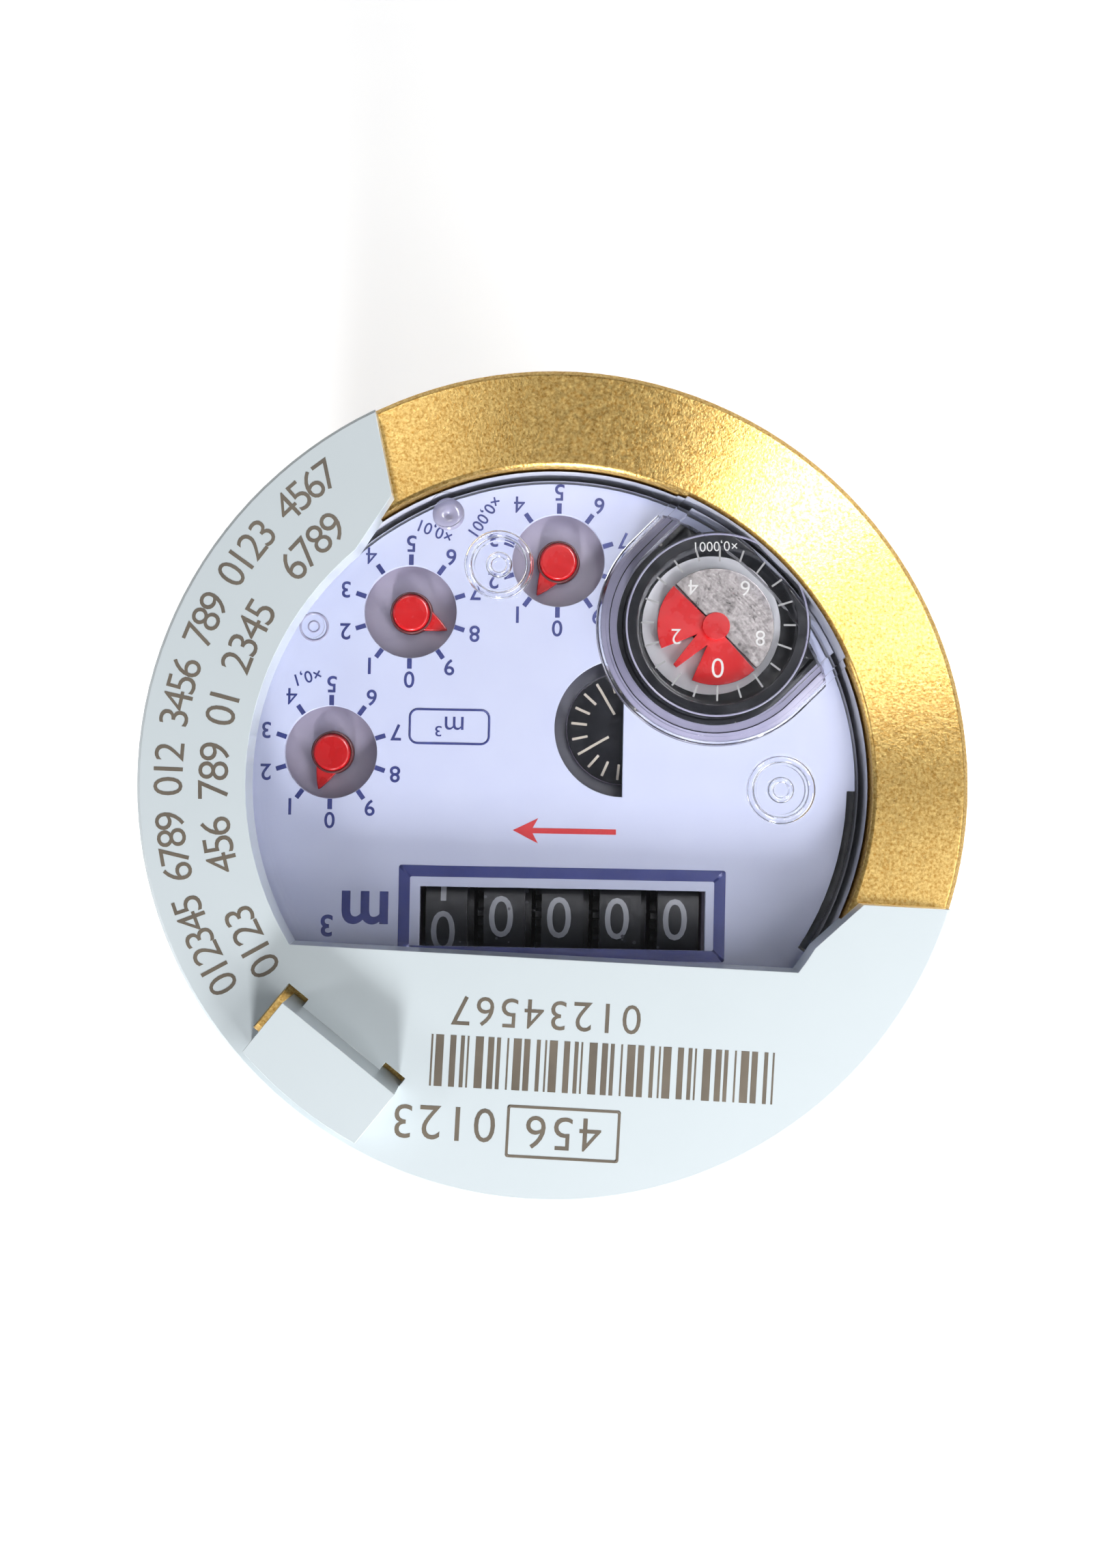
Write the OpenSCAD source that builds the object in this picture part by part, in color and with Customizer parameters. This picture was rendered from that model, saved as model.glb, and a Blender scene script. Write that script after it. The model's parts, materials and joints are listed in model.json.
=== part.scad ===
// Dry-dial water meter capsule: brass head ring, turning register, measuring insert.
// Origin at the bottom centre of the inlet spigot, +Z up, +Y is up for the reader.

/* [Head ring] */
// Outside diameter of the brass flange
ring_d = 90; // [84:0.5:100]
// Height of the flange
flange_h = 12; // [9:0.5:15]
// Least wall between the register bore and the thread
thread_wall = 3.6; // [3:0.1:4.6]
// Length of the capsule thread
thread_len = 16; // [10:1:18]
// Depth of the thread, measured on the radius
thread_depth = 0.92; // [0.6:0.02:1.2]
// Edge chamfer on the flange
flange_chamfer = 0.6; // [0.2:0.1:1.2]
// Number of spanner notches under the flange
notch_count = 6; // [3:1:10]
// Width of a spanner notch
notch_w = 4; // [3:0.5:6]

/* [Cover plate] */
// Thickness of the white cover plate
cover_t = 2.6; // [1.8:0.1:3.5]
// Step of the cover plate in from the ring edge
cover_inset = 0.6; // [0.3:0.1:2]
// Overhang of the cover plate over the register window
cover_overhang = 1.8; // [1.4:0.1:3]
// Distance of the straight inner edge from the axis
chord_y = 18.4; // [16:0.2:21]
// Turn of the cover plate against the dial
cover_turn = -2.1; // [-6:0.1:6]
// Half of the angle that the cover plate leaves open
gap_half_angle = 66.3; // [55:0.5:75]
// Direction of the open side
gap_direction = -129.9; // [-150:0.5:-110]
// Width of the clip block
block_w = 15; // [10:0.5:20]
// Height of the clip block above the plate
block_h = 4.6; // [3:0.2:8]
// Width of the slots that free the clip block
block_slot = 1; // [0.6:0.1:1.6]

/* [Window] */
// Thickness of the clear window
window_t = 1.8; // [1.2:0.1:2.6]
// Depth of the window below the ring top
window_recess = 1.6; // [1:0.1:3]
// Height of the raised tower above the window
tower_h = 2.6; // [1.6:0.1:5]
// Outside radius of the tower foot
tower_r = 13; // [12:0.1:14]

/* [Dial] */
// Diameter of the circle that the pointers stand on
pointer_circle_d = 49.7; // [46:0.1:52]
// Thickness of the dial
dial_t = 0.8; // [0.5:0.1:1.2]
// Radius of a pointer well
well_r = 5.1; // [4.5:0.1:5.6]
// Depth of the gear plate below the dial
well_depth = 1.6; // [1.3:0.1:2.6]
// Radius of the star wheel opening
star_hole_r = 7.6; // [6.8:0.1:8.4]
// Radius of the litre disc
litre_r = 6.4; // [5.5:0.1:7]

/* [Counter] */
// Radius of a number roller
roller_r = 9.2; // [8.4:0.1:9.6]
// Distance between two rollers
roller_pitch = 6.44; // [6:0.02:6.8]
// Width of a roller drum
drum_w = 4.6; // [4:0.1:4.8]
// Height of the dial opening over the rollers
counter_h = 6.6; // [5:0.1:8]

/* [Gear train] */
// Teeth of a wheel
wheel_n = 30; // [30:10:40]
// Teeth of a pointer pinion
pinion_n = 9; // [9:1:10]
// Teeth of an idler pinion
idler_n = 10; // [9:1:10]
// Teeth of the follower pinion
follower_n = 12; // [10:1:14]
// Face width of a gear
gear_face = 1; // [0.8:0.05:1.2]
// Height between two gear layers
layer_gap = 0.45; // [0.35:0.05:0.7]

/* [Measuring insert] */
// Outside diameter of the inlet spigot
spigot_d = 40; // [36:0.5:44]
// Bore of the inlet port
port_d = 28; // [22:0.5:30]
// Height of the inlet spigot
spigot_h = 9; // [8:0.5:14]
// Step of the insert rim beyond the insert wall
insert_step = 1.7; // [1.4:0.1:2.4]
// Wall of the insert housing
insert_wall = 2; // [1.6:0.1:3]
// Inside diameter of the impeller chamber
chamber_d = 45; // [40:0.5:48]
// Height of the impeller chamber
chamber_h = 15; // [14:0.5:20]
// Number of jets in each row
jet_n = 12; // [8:1:14]
// Number of impeller blades
blade_n = 8; // [6:1:10]

/* [Hidden] */
$fn = 72;
// Running clearance of a shaft in its hole
run_fit = 0.05;
// Air between pieces that pass each other
air = 0.3;
// Air around a piece that drops into its seat
seat_air = 0.2;
// Overcut that takes a cut past a face
over = 1;
brass = [0.80, 0.62, 0.25];
white = [0.90, 0.93, 0.94];
clear = [0.80, 0.86, 0.90, 0.35];
lilac = [0.85, 0.86, 0.93];
black = [0.10, 0.10, 0.11];
red = [0.80, 0.12, 0.14];
steel = [0.70, 0.71, 0.72];
natural = [0.88, 0.87, 0.83];
magnet = [0.25, 0.25, 0.27];
rubber = [0.07, 0.07, 0.07];

// Walls and plates of the wet side
insert_floor = 2;
strainer_t = 1;
under_cup = 4;
cup_floor = 2;
cup_wall = 2;
press_t = 7;
press_web = 2.6;
shoulder_t = 3;
shoulder_w = 4.6;
ring_skirt = 4.2;
lower_step = 0.4;
neck_h = 2.4;
thread_relief = 1.3;
seal_cord = 2.4;
seal_recess = 1;
port_groove = 0.8 * seal_cord;
plate_groove = 0.85 * seal_cord;

// Heights from the bottom up
z_insert = spigot_h;
z_strainer = z_insert + insert_floor;
z_cup = z_strainer + strainer_t + under_cup;
z_chamber = z_cup + cup_floor;
z_press = z_chamber + chamber_h;
z_shoulder = z_press + press_t;
z_base = z_shoulder + shoulder_t;
base_t = 1.5;
z_floor = z_base + base_t;
function layer_z(i) = z_floor + layer_gap + (i - 1) * (gear_face + layer_gap);
z_roller = layer_z(2) + roller_r;
z_dial = z_roller + roller_r + air;
z_dial_top = z_dial + dial_t;
plate_t = 1.4;
z_plate = z_dial - well_depth - plate_t;
z_plate_top = z_plate + plate_t;
window_air = 0.6;
z_window_in = z_dial_top + window_air;
z_window = z_window_in + window_t;
z_top = z_window + window_recess;
z_cover = z_top + cover_t;
z_flange = z_top - flange_h;
z_thread_top = z_flange - neck_h;
z_thread = z_thread_top - thread_len;
z_ring = z_press - ring_skirt;
z_tower = z_window + tower_h;

// Tooth form, in shares of the pitch and of the module
root_share = 0.56;
tip_share = 0.24;
addendum = 0.85;
dedendum = 1.15;
tooth = [[-root_share / 2, -dedendum], [-tip_share / 2, addendum],
         [tip_share / 2, addendum], [root_share / 2, -dedendum]];
gap_floor = [[-root_share / 2, -dedendum], [root_share / 2, -dedendum]];
function tooth_ring(n, m, step = 1) = [for (k = [0 : n - 1])
    for (p = k % step == 0 ? tooth : gap_floor)
        let (a = (k + p[0]) * 360 / n, r = (n / 2 + p[1]) * m) [r * cos(a), r * sin(a)]];
// Turn of a driven gear whose gap meets a tooth of its driver
function mesh_turn(n1, turn1, n2, dir) = dir + 180 - (0.5 - (dir - turn1) * n1 / 360) * 360 / n2;
function polar(r, a) = [r * cos(a), r * sin(a)];
function heading(p, q) = atan2(q[1] - p[1], q[0] - p[0]);
// Third corner of a triangle on p and q, ra from p and rb from q
function corner(p, q, ra, rb, side) = let (d = norm(q - p), e = (q - p) / d,
    t = (d * d + ra * ra - rb * rb) / (2 * d), h = sqrt(max(0, ra * ra - t * t)))
    p + e * t + side * h * [-e[1], e[0]];

// Places of the pointers on one circle, with wheels that span their widest step
star_a = -139.5;
litre_a = -134.5;
third_a = -90.2;
second_a = -49.5;
first_a = -7.5;
wall_air = air;
reach_n = (pinion_n + 2 * wheel_n + idler_n) / 2;
widest_chord = 2 * sin((third_a - litre_a) / 2);
straight = 0.998;
tip_n = wheel_n / 2 + addendum;
pointer_r = pointer_circle_d / 2;
train_m = pointer_r * widest_chord / (reach_n * straight);
near_r = (pinion_n + wheel_n) / 2 * train_m;
far_r = (idler_n + wheel_n) / 2 * train_m;
star_r = (follower_n + wheel_n) / 2 * train_m;
first_p = polar(pointer_r, first_a);
// The bevel arbor stands to the side of the first pointer and in line with the rollers
bevel_shift = 5;
bevel_reach = 0.99 * (near_r + far_r);
bevel_p = first_p + [-bevel_shift, sqrt(bevel_reach * bevel_reach - bevel_shift * bevel_shift)];
arbor_p = [polar(star_r, star_a), polar(pointer_r, litre_a), polar(pointer_r, third_a),
           polar(pointer_r, second_a), first_p, bevel_p];
idler_side = [0, -1, 1, 1, 1, -1];
idler_p = [for (k = [0 : 5]) k == 0 ? [0, 0]
    : corner(arbor_p[k - 1], arbor_p[k], near_r, far_r, idler_side[k])];
// Wheels of neighbours lie in different layers
function wheel_layer(k) = k % 2 == 0 ? 2 : 1;
function idler_layer(k) = k % 2 == 0 ? 4 : 3;
function wheel_turn(k) = k == 0 ? mesh_turn(follower_n, 0, wheel_n, star_a)
    : mesh_turn(idler_n, 0, wheel_n, heading(idler_p[k], arbor_p[k]));
function idler_turn(k) = mesh_turn(pinion_n, 0, wheel_n, heading(arbor_p[k - 1], idler_p[k]));
arbor_shaft = 0.9;
pivot_shaft = 0.6;
pivot_depth = 1;
end_play = 0.1;
hub_top = z_plate_top + 1.3;
star_t = 0.7;
star_edge = 1.4;

// Counter: rollers on one shaft, carry pinions on another
roller_n = 5;
roller_y = bevel_p[1];
bevel_m = 0.5;
bevel_n = 12;
bevel_r = bevel_m * bevel_n / 2;
bevel_face = 1.2;
bevel_neck = 2.7;
neck_hub = 2.2;
roller_x = bevel_p[0] - bevel_r - bevel_neck - drum_w / 2;
function roller_at(i) = roller_x - (i - 1) * roller_pitch;
drum_gap = roller_pitch - drum_w;
roller_shaft_r = 0.8;
carry_shaft_r = 0.5;
carry_shaft_air = 0.66;
carry_ring_n = 20;
carry_n = 8;
carry_a = -25;
// The carry shaft clears the rollers, and the carry teeth follow from its place
carry_c = roller_r + carry_shaft_r + carry_shaft_air;
carry_m = 2 * carry_c / (carry_ring_n + carry_n);
carry_y = roller_y + carry_c * cos(carry_a);
carry_z = z_roller + carry_c * sin(carry_a);
carry_w = drum_gap - 2 * air;
carry_turn = carry_a + 180;
ring_turn = mesh_turn(carry_n, carry_turn, carry_ring_n, carry_turn);
ring_gap = 0.44;
ring_w = (drum_gap - ring_gap) / 2;
lock_r = carry_ring_n / 2 * carry_m - seat_air;
cheek_t = 1.2;
cheek_gap = 0.4;
cheek_half = 4;
cheek_low = 3;
cheek_edge = 1.6;
left_cheek = roller_at(roller_n) - drum_w / 2 - cheek_gap - cheek_t;
right_cheek = roller_x + drum_w / 2 + (bevel_neck - cheek_t) / 2;

// Radii of the ring, the register and the insert
ring_r = ring_d / 2;
base_wall = 0.6;
cup_wall_t = 0.8;
// The register is as wide as its wheels or its counter needs, whichever reaches further
train_reach = pointer_r + tip_n * train_m;
counter_reach = norm([left_cheek, carry_y + cheek_edge]);
// One of the posts for the gear plate stands behind the carry pinions
post_r = 1.7;
post_a = [-27, 75, 178];
carry_tip_r = (carry_n / 2 + 1) * carry_m;
post_reach = (carry_y + carry_tip_r + air + post_r) / sin(post_a[1]) + post_r;
base_in_r = max(train_reach + wall_air, counter_reach + wall_air, post_reach);
base_r = base_in_r + base_wall;
cup_in_r = base_r + seat_air;
cup_r = cup_in_r + cup_wall_t;
bore_r = cup_r + air;
// The thread has the next whole millimetre of diameter
thread_r = ceil(2 * (bore_r + thread_wall)) / 2;
neck_r = thread_r - thread_relief;
seal_groove_r = neck_r + seal_cord + 2 * run_fit;
pilot_r = thread_r - thread_depth - air;
lower_r = bore_r - lower_step;
cover_r = ring_r - cover_inset;
insert_r = lower_r - insert_step;
chamber_r = chamber_d / 2;
chamber_out_r = chamber_r + cup_wall;

// Snap ring below the insert flange
snap_h = 1.1;
snap_in_r = insert_r + air;
snap_out_r = lower_r + 1;
insert_rim = 1.3;
z_snap = z_press - insert_rim - snap_h;
ledge_rise = 4;
z_ledge = z_chamber + ledge_rise;
ledge_w = 1;
ledge_t = 1.2;
spigot_chamfer = 1;
insert_chamfer = 1.5;

// Jets of the impeller cup and outlets of the insert housing
jet_a = 40;
jet_w = 1.8;
jet_reach = 12;
jet_start = chamber_r - 4;
jet_edge = 0.6;
jet_roof = 3;
outlet_w = 8;

// Litre tower
litre_p = arbor_p[1];
collar_r = 10.1;
collar_in_r = 8.7;
collar_floor = 0.8;
tower_step = 0.9;
tower_wall = 1.2;
collar_flare = 0.5;
litre_z = z_dial_top + collar_floor + collar_flare;
litre_t = 0.6;
litre_pointer_a = 45;
litre_hub_r = 1.5;
litre_hub_h = 0.5;
// Angles of a red lobe beside the litre pointer
lobe_from = 22;
lobe_mid = 60;
lobe_to = 88;

// Red pointers in their wells
pointer_hub_r = 2.1;
pointer_hub_h = 1.5;
pointer_t = 0.9;
pointer_half = 1.9;
pointer_tip = 0.15;
pointer_air = 0.5;
third_pointer_a = 58;
second_pointer_a = 156;
first_pointer_a = 70;

// Moulded bosses, a pin and a lens in the window
boss_p = [polar(pointer_r, -75.1), polar(pointer_r, 180)];
boss_groove_r = 2.7;
boss_pin_r = 1.4;
boss_depth = 0.9;
window_pin_p = polar(cup_in_r - 1.6, -32.5);
window_pin_r = 1.35;
lens_p = polar(cup_in_r - 1.2, -67.8);
lens_r = 1.9;
lens_h = 0.4;

// Posts for the gear plate
post_circle = base_in_r - post_r;
screw_r = 0.75;
screw_head_r = 1.5;
screw_head_h = 0.9;
screw_len = 6;
post_foot = 0.2;

// Magnetic coupling on the axis
pot_r = 9;
pot_wall = 1;
pot_air = 0.3;
z_pot = z_press + press_web + pot_air;
follower_mag_r = 6.2;
follower_mag_h = 4;
follower_mag_z = z_pot + pot_wall + 1;
follower_cap = 0.8;
drive_mag_r = 6.2;
drive_mag_in = 2.6;
drive_mag_h = 3.5;
pin_r = 1;
pin_rise = 8;
pin_top = z_chamber + pin_rise;
jewel_r = 1.8;
jewel_h = 1;
hub_r = 7.6;
impeller_air = 0.8;
impeller_top = z_press - impeller_air;
impeller_bottom = z_chamber + impeller_air;
blade_air = 1.7;
blade_r = chamber_r - blade_air;
blade_h = 10;
blade_t = 1.2;

// Cover plate outline, in the direction of its open side
cover_in_r = bore_r - cover_overhang;
cover_edge = 0.35;
land_r = bore_r + 0.8;
land_a = gap_half_angle + 3.7;
throat_r = cover_in_r - 0.5;
throat_a = gap_half_angle + 18;
block_in = bore_r + 0.5;
block_rim = 2.1;
block_out_r = cover_r - block_rim;
block_turn = 181.7;
slot_short = 2.7;
slot_long = 6;
skirt_wall = 1.2;
skirt_air = 0.2;

// Spur gear standing on z = 0
module gear(n, m, face, turn = 0, step = 1)
    rotate(turn)
        linear_extrude(face)
            polygon(tooth_ring(n, m, step));

// Upright shaft with a thinner pivot at each end
module spindle(z0, z1, top) {
    translate([0, 0, z0])
        cylinder(h = z1 - z0, r = arbor_shaft);
    translate([0, 0, z0 - pivot_depth])
        cylinder(h = top - z0 + pivot_depth, r = pivot_shaft);
}

// Ring of round cord
module cord_ring(r, z, d)
    translate([0, 0, z])
        rotate_extrude()
            translate([r, 0])
                circle(d = d, $fn = 32);

// Shape turned so that its own Z runs along the roller axis
module along_x(x, y, z)
    translate([x, y, z])
        rotate([90, 0, 90])
            children();

module head_ring() {
    c = flange_chamfer;
    color(brass)
        difference() {
            rotate_extrude()
                polygon([[lower_r, z_ring], [pilot_r - c, z_ring], [pilot_r, z_ring + c],
                    [pilot_r, z_thread], [thread_r - thread_depth, z_thread],
                    [thread_r, z_thread + thread_depth], [thread_r, z_thread_top - thread_depth],
                    [neck_r, z_thread_top], [neck_r, z_flange + seal_recess],
                    [seal_groove_r, z_flange + seal_recess], [seal_groove_r, z_flange],
                    [ring_r - c, z_flange],
                    [ring_r, z_flange + c], [ring_r, z_top - c], [ring_r - c, z_top],
                    [bore_r + c / 2, z_top], [bore_r, z_top - c / 2], [bore_r, z_base],
                    [bore_r - shoulder_w, z_base], [bore_r - shoulder_w, z_shoulder],
                    [lower_r, z_shoulder], [lower_r, z_snap + snap_h + run_fit],
                    [snap_out_r + run_fit, z_snap + snap_h + run_fit],
                    [snap_out_r + run_fit, z_snap - run_fit], [lower_r, z_snap - run_fit]]);
            for (k = [0 : notch_count - 1])
                rotate(k * 360 / notch_count)
                    translate([(thread_r + ring_r) / 2, -notch_w / 2, z_flange - over])
                        cube([ring_r, notch_w, flange_h / 2 + over]);
        }
}

module flange_seal()
    color(rubber)
        cord_ring(neck_r + seal_cord / 2 + run_fit, z_flange + seal_recess - seal_cord / 2, seal_cord);

module pressure_plate() {
    plate_r = lower_r - seat_air;
    groove_r = lower_r - plate_groove;
    groove_z = z_press + press_t / 2;
    groove_half = seal_cord / 2 + 2 * run_fit;
    color(natural)
        rotate_extrude()
            polygon([[0, z_press], [plate_r, z_press], [plate_r, groove_z - groove_half],
                [groove_r, groove_z - groove_half], [groove_r, groove_z + groove_half],
                [plate_r, groove_z + groove_half], [plate_r, z_shoulder],
                [pot_r + air, z_shoulder], [pot_r + air, z_press + press_web],
                [0, z_press + press_web]]);
}

module body_seal()
    color(rubber)
        cord_ring(lower_r - plate_groove / 2, z_press + press_t / 2, plate_groove - 2 * run_fit);

module snap_ring() {
    split = 6;
    color(steel)
        difference() {
            translate([0, 0, z_snap])
                cylinder(h = snap_h, r = snap_out_r);
            translate([0, 0, z_snap - over])
                cylinder(h = snap_h + 2 * over, r = snap_in_r);
            translate([0, -split / 2, z_snap - over])
                cube([2 * snap_out_r, split, snap_h + 2 * over]);
        }
}

module insert_housing() {
    r = spigot_d / 2;
    groove_z = (spigot_h - seal_cord) / 2;
    inner_r = insert_r - insert_wall;
    rim_r = lower_r - air;
    outlet_z = z_ledge + ledge_t + jet_edge;
    outlet_h = z_ring - jet_edge - outlet_z;
    color(black)
        difference() {
            rotate_extrude()
                polygon([[port_d / 2, 0], [r - spigot_chamfer, 0], [r, spigot_chamfer], [r, groove_z],
                    [r - port_groove, groove_z], [r - port_groove, groove_z + seal_cord],
                    [r, groove_z + seal_cord], [r, z_insert],
                    [insert_r - insert_chamfer, z_insert], [insert_r, z_insert + insert_chamfer],
                    [insert_r, z_press - insert_rim], [rim_r, z_press - insert_rim],
                    [rim_r, z_press], [inner_r, z_press], [inner_r, z_ledge],
                    [inner_r - ledge_w, z_ledge], [inner_r - ledge_w, z_strainer],
                    [port_d / 2, z_strainer]]);
            for (k = [0 : jet_n - 1])
                rotate((k + 0.5) * 360 / jet_n)
                    translate([inner_r - over, -outlet_w / 2, outlet_z])
                        cube([insert_wall + 2 * over, outlet_w, outlet_h]);
        }
}

module impeller_cup() {
    rim_r = insert_r - insert_wall - run_fit;
    z_upper = z_ledge + ledge_t;
    color(natural)
        difference() {
            rotate_extrude()
                polygon([[pin_r, z_cup], [chamber_out_r, z_cup], [chamber_out_r, z_ledge],
                    [rim_r, z_ledge], [rim_r, z_upper], [chamber_out_r, z_upper],
                    [chamber_out_r, z_press], [chamber_r, z_press], [chamber_r, z_chamber],
                    [pin_r, z_chamber]]);
            for (k = [0 : jet_n - 1])
                rotate(k * 360 / jet_n) {
                    translate([jet_start, 0, z_chamber + jet_edge])
                        rotate(jet_a)
                            cube([jet_reach, jet_w, z_ledge - z_chamber - 2 * jet_edge]);
                    translate([jet_start, 0, z_upper + jet_edge])
                        rotate(-jet_a)
                            cube([jet_reach, jet_w, z_press - z_upper - jet_edge - jet_roof]);
                }
        }
}

module strainer() {
    rim = 3;
    step = 3.2;
    hole = 1.15;
    rows = floor((port_d / 2 - hole) / step);
    color(natural)
        difference() {
            translate([0, 0, z_strainer])
                cylinder(h = strainer_t, r = port_d / 2 + rim);
            for (i = [-rows : rows])
                for (j = [-rows : rows])
                    let (x = (i + j / 2) * step, y = j * step * sin(60))
                        if (norm([x, y]) < port_d / 2 - hole)
                            translate([x, y, z_strainer - over])
                                cylinder(h = strainer_t + 2 * over, r = hole, $fn = 24);
        }
}

module port_o_ring()
    color(rubber)
        cord_ring((spigot_d + seal_cord) / 2 - port_groove, spigot_h / 2, seal_cord - 2 * run_fit);

module pivot_pin()
    color(steel)
        translate([0, 0, z_cup])
            cylinder(h = pin_top - z_cup, r = pin_r);

module impeller()
    color(natural)
        difference() {
            union() {
                translate([0, 0, impeller_bottom])
                    cylinder(h = impeller_top - impeller_bottom, r = hub_r);
                for (k = [0 : blade_n - 1])
                    rotate(k * 360 / blade_n)
                        translate([0, -blade_t / 2, impeller_bottom])
                            cube([blade_r, blade_t, blade_h]);
            }
            translate([0, 0, impeller_bottom - over])
                cylinder(h = pin_top - impeller_bottom + over, r = pin_r + run_fit);
            translate([0, 0, pin_top])
                cylinder(h = jewel_h, r = jewel_r);
            translate([0, 0, impeller_top - drive_mag_h])
                difference() {
                    cylinder(h = drive_mag_h + over, r = drive_mag_r);
                    cylinder(h = drive_mag_h + over, r = drive_mag_in);
                }
        }

module drive_magnet()
    color(magnet)
        translate([0, 0, impeller_top - drive_mag_h])
            difference() {
                cylinder(h = drive_mag_h, r = drive_mag_r);
                translate([0, 0, -over])
                    cylinder(h = drive_mag_h + 2 * over, r = drive_mag_in);
            }

module pivot_jewel()
    color(red)
        translate([0, 0, pin_top])
            cylinder(h = jewel_h, r = jewel_r);

// Region inside the inner edge of the cover plate
module cover_aperture()
    intersection() {
        circle(r = cover_in_r);
        rotate(cover_turn)
            translate([-ring_r, chord_y - 2 * ring_r])
                square(2 * ring_r);
    }

// Region that the cover plate leaves open to the brass
module cover_gap() {
    land = polar(land_r, land_a);
    outer = land + (polar(cover_r, gap_half_angle) - land) * 2;
    throat = polar(throat_r, throat_a);
    far = 3 * ring_r;
    rotate(gap_direction)
        polygon([throat, land, outer, [far, outer[1]], [far, -outer[1]], [outer[0], -outer[1]],
            [land[0], -land[1]], [throat[0], -throat[1]]]);
}

// Clip block outline, straight inside and round outside
module block_outline()
    rotate(gap_direction + block_turn)
        intersection() {
            circle(r = block_out_r);
            translate([block_in, -block_w / 2])
                square([ring_r, block_w]);
        }

// Slots beside the clip block
module block_slots()
    rotate(gap_direction + block_turn) {
        translate([block_in - block_slot, -block_w / 2 - block_slot])
            square([block_slot, slot_short]);
        translate([block_in - block_slot, -block_w / 2 - block_slot])
            square([slot_long, block_slot]);
        translate([block_in - block_slot, block_w / 2 - slot_short])
            square([block_slot, slot_short]);
    }

module cover_plate()
    color(white) {
        difference() {
            translate([0, 0, z_top])
                rotate_extrude()
                    polygon([[0, 0], [cover_r, 0], [cover_r, cover_t - cover_edge],
                        [cover_r - cover_edge, cover_t], [0, cover_t]]);
            translate([0, 0, z_top - over])
                linear_extrude(cover_t + 2 * over) {
                    cover_aperture();
                    cover_gap();
                    block_slots();
                }
        }
        translate([0, 0, z_cover])
            linear_extrude(block_h)
                block_outline();
        translate([0, 0, z_window + skirt_air])
            linear_extrude(window_recess - skirt_air)
                difference() {
                    circle(r = bore_r - air);
                    cover_aperture();
                    cover_gap();
                    intersection() {
                        circle(r = bore_r - air - skirt_wall);
                        rotate(cover_turn)
                            translate([-ring_r, chord_y + skirt_wall])
                                square(2 * ring_r);
                    }
                }
    }

// Outline of the tower, round about the litre axis and open to the rim
module tower_outline(r)
    intersection() {
        circle(r = cup_r);
        translate(litre_p)
            rotate(litre_a) {
                circle(r = r);
                translate([0, -r])
                    square([ring_r, 2 * r]);
            }
    }

module clear_cup()
    color(clear)
        difference() {
            union() {
                translate([0, 0, z_floor])
                    cylinder(h = z_window - z_floor, r = cup_r);
                translate([0, 0, z_window])
                    linear_extrude(tower_step)
                        tower_outline(tower_r);
                translate([0, 0, z_window])
                    linear_extrude(tower_h)
                        tower_outline(tower_r - tower_step);
                translate([lens_p[0], lens_p[1], z_window])
                    cylinder(h = lens_h, r = lens_r);
                translate([window_pin_p[0], window_pin_p[1], z_dial_top])
                    cylinder(h = z_window - z_dial_top, r = window_pin_r);
            }
            translate([0, 0, z_floor - over])
                difference() {
                    cylinder(h = z_window_in - z_floor + over, r = cup_in_r);
                    translate([window_pin_p[0], window_pin_p[1], z_dial_top - z_floor + over])
                        cylinder(h = z_window_in - z_dial_top + over, r = window_pin_r);
                }
            translate([0, 0, z_window_in - over])
                linear_extrude(z_tower - tower_wall - z_window_in + over)
                    intersection() {
                        circle(r = cup_in_r);
                        tower_outline(tower_r - tower_step - tower_wall);
                    }
            for (p = boss_p)
                translate([p[0], p[1], z_window - boss_depth])
                    difference() {
                        cylinder(h = boss_depth + over, r = boss_groove_r);
                        cylinder(h = boss_depth + over, r = boss_pin_r);
                    }
        }

module register_base()
    color(black)
        difference() {
            union() {
                rotate_extrude()
                    polygon([[0, z_pot], [pot_r, z_pot], [pot_r, z_base], [cup_r, z_base],
                        [cup_r, z_floor], [base_r, z_floor], [base_r, z_dial], [base_in_r, z_dial],
                        [base_in_r, z_floor], [pot_r - pot_wall, z_floor],
                        [pot_r - pot_wall, z_pot + pot_wall], [0, z_pot + pot_wall]]);
                for (a = post_a)
                    rotate(a)
                        translate([post_circle, 0, z_floor - post_foot])
                            cylinder(h = z_plate - z_floor + post_foot, r = post_r);
            }
            for (p = concat(arbor_p, [for (k = [1 : 5]) idler_p[k]]))
                translate([p[0], p[1], z_floor - pivot_depth - end_play])
                    cylinder(h = pivot_depth + end_play + over, r = pivot_shaft + run_fit);
            translate([0, 0, z_pot + pot_wall / 2])
                cylinder(h = pot_wall, r = pivot_shaft + run_fit);
            for (a = post_a)
                rotate(a)
                    translate([post_circle, 0, z_plate - screw_len + plate_t])
                        cylinder(h = screw_len, r = screw_r);
        }

module dial_plate() {
    notch_r = base_in_r - air;
    notch_from = 147.5;
    notch_to = 180;
    star_cover = 3.2;
    counter_x = (roller_at(1) + roller_at(roller_n)) / 2;
    counter_edge = 0.35;
    counter_w = roller_pitch * roller_n - 2 * counter_edge;
    color(lilac)
        translate([0, 0, z_dial])
            linear_extrude(dial_t)
                difference() {
                    circle(r = base_r);
                    for (k = [2 : 4])
                        translate(arbor_p[k])
                            circle(r = well_r);
                    translate(litre_p)
                        circle(r = arbor_shaft + air);
                    translate(arbor_p[0])
                        difference() {
                            circle(r = star_hole_r);
                            translate([-2 * star_hole_r, -star_cover])
                                square(2 * star_hole_r);
                        }
                    translate([counter_x - counter_w / 2, roller_y - counter_h / 2])
                        square([counter_w, counter_h]);
                    difference() {
                        polygon([[0, 0], polar(ring_r, notch_from), polar(ring_r, notch_to)]);
                        circle(r = notch_r);
                    }
                }
}

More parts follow.
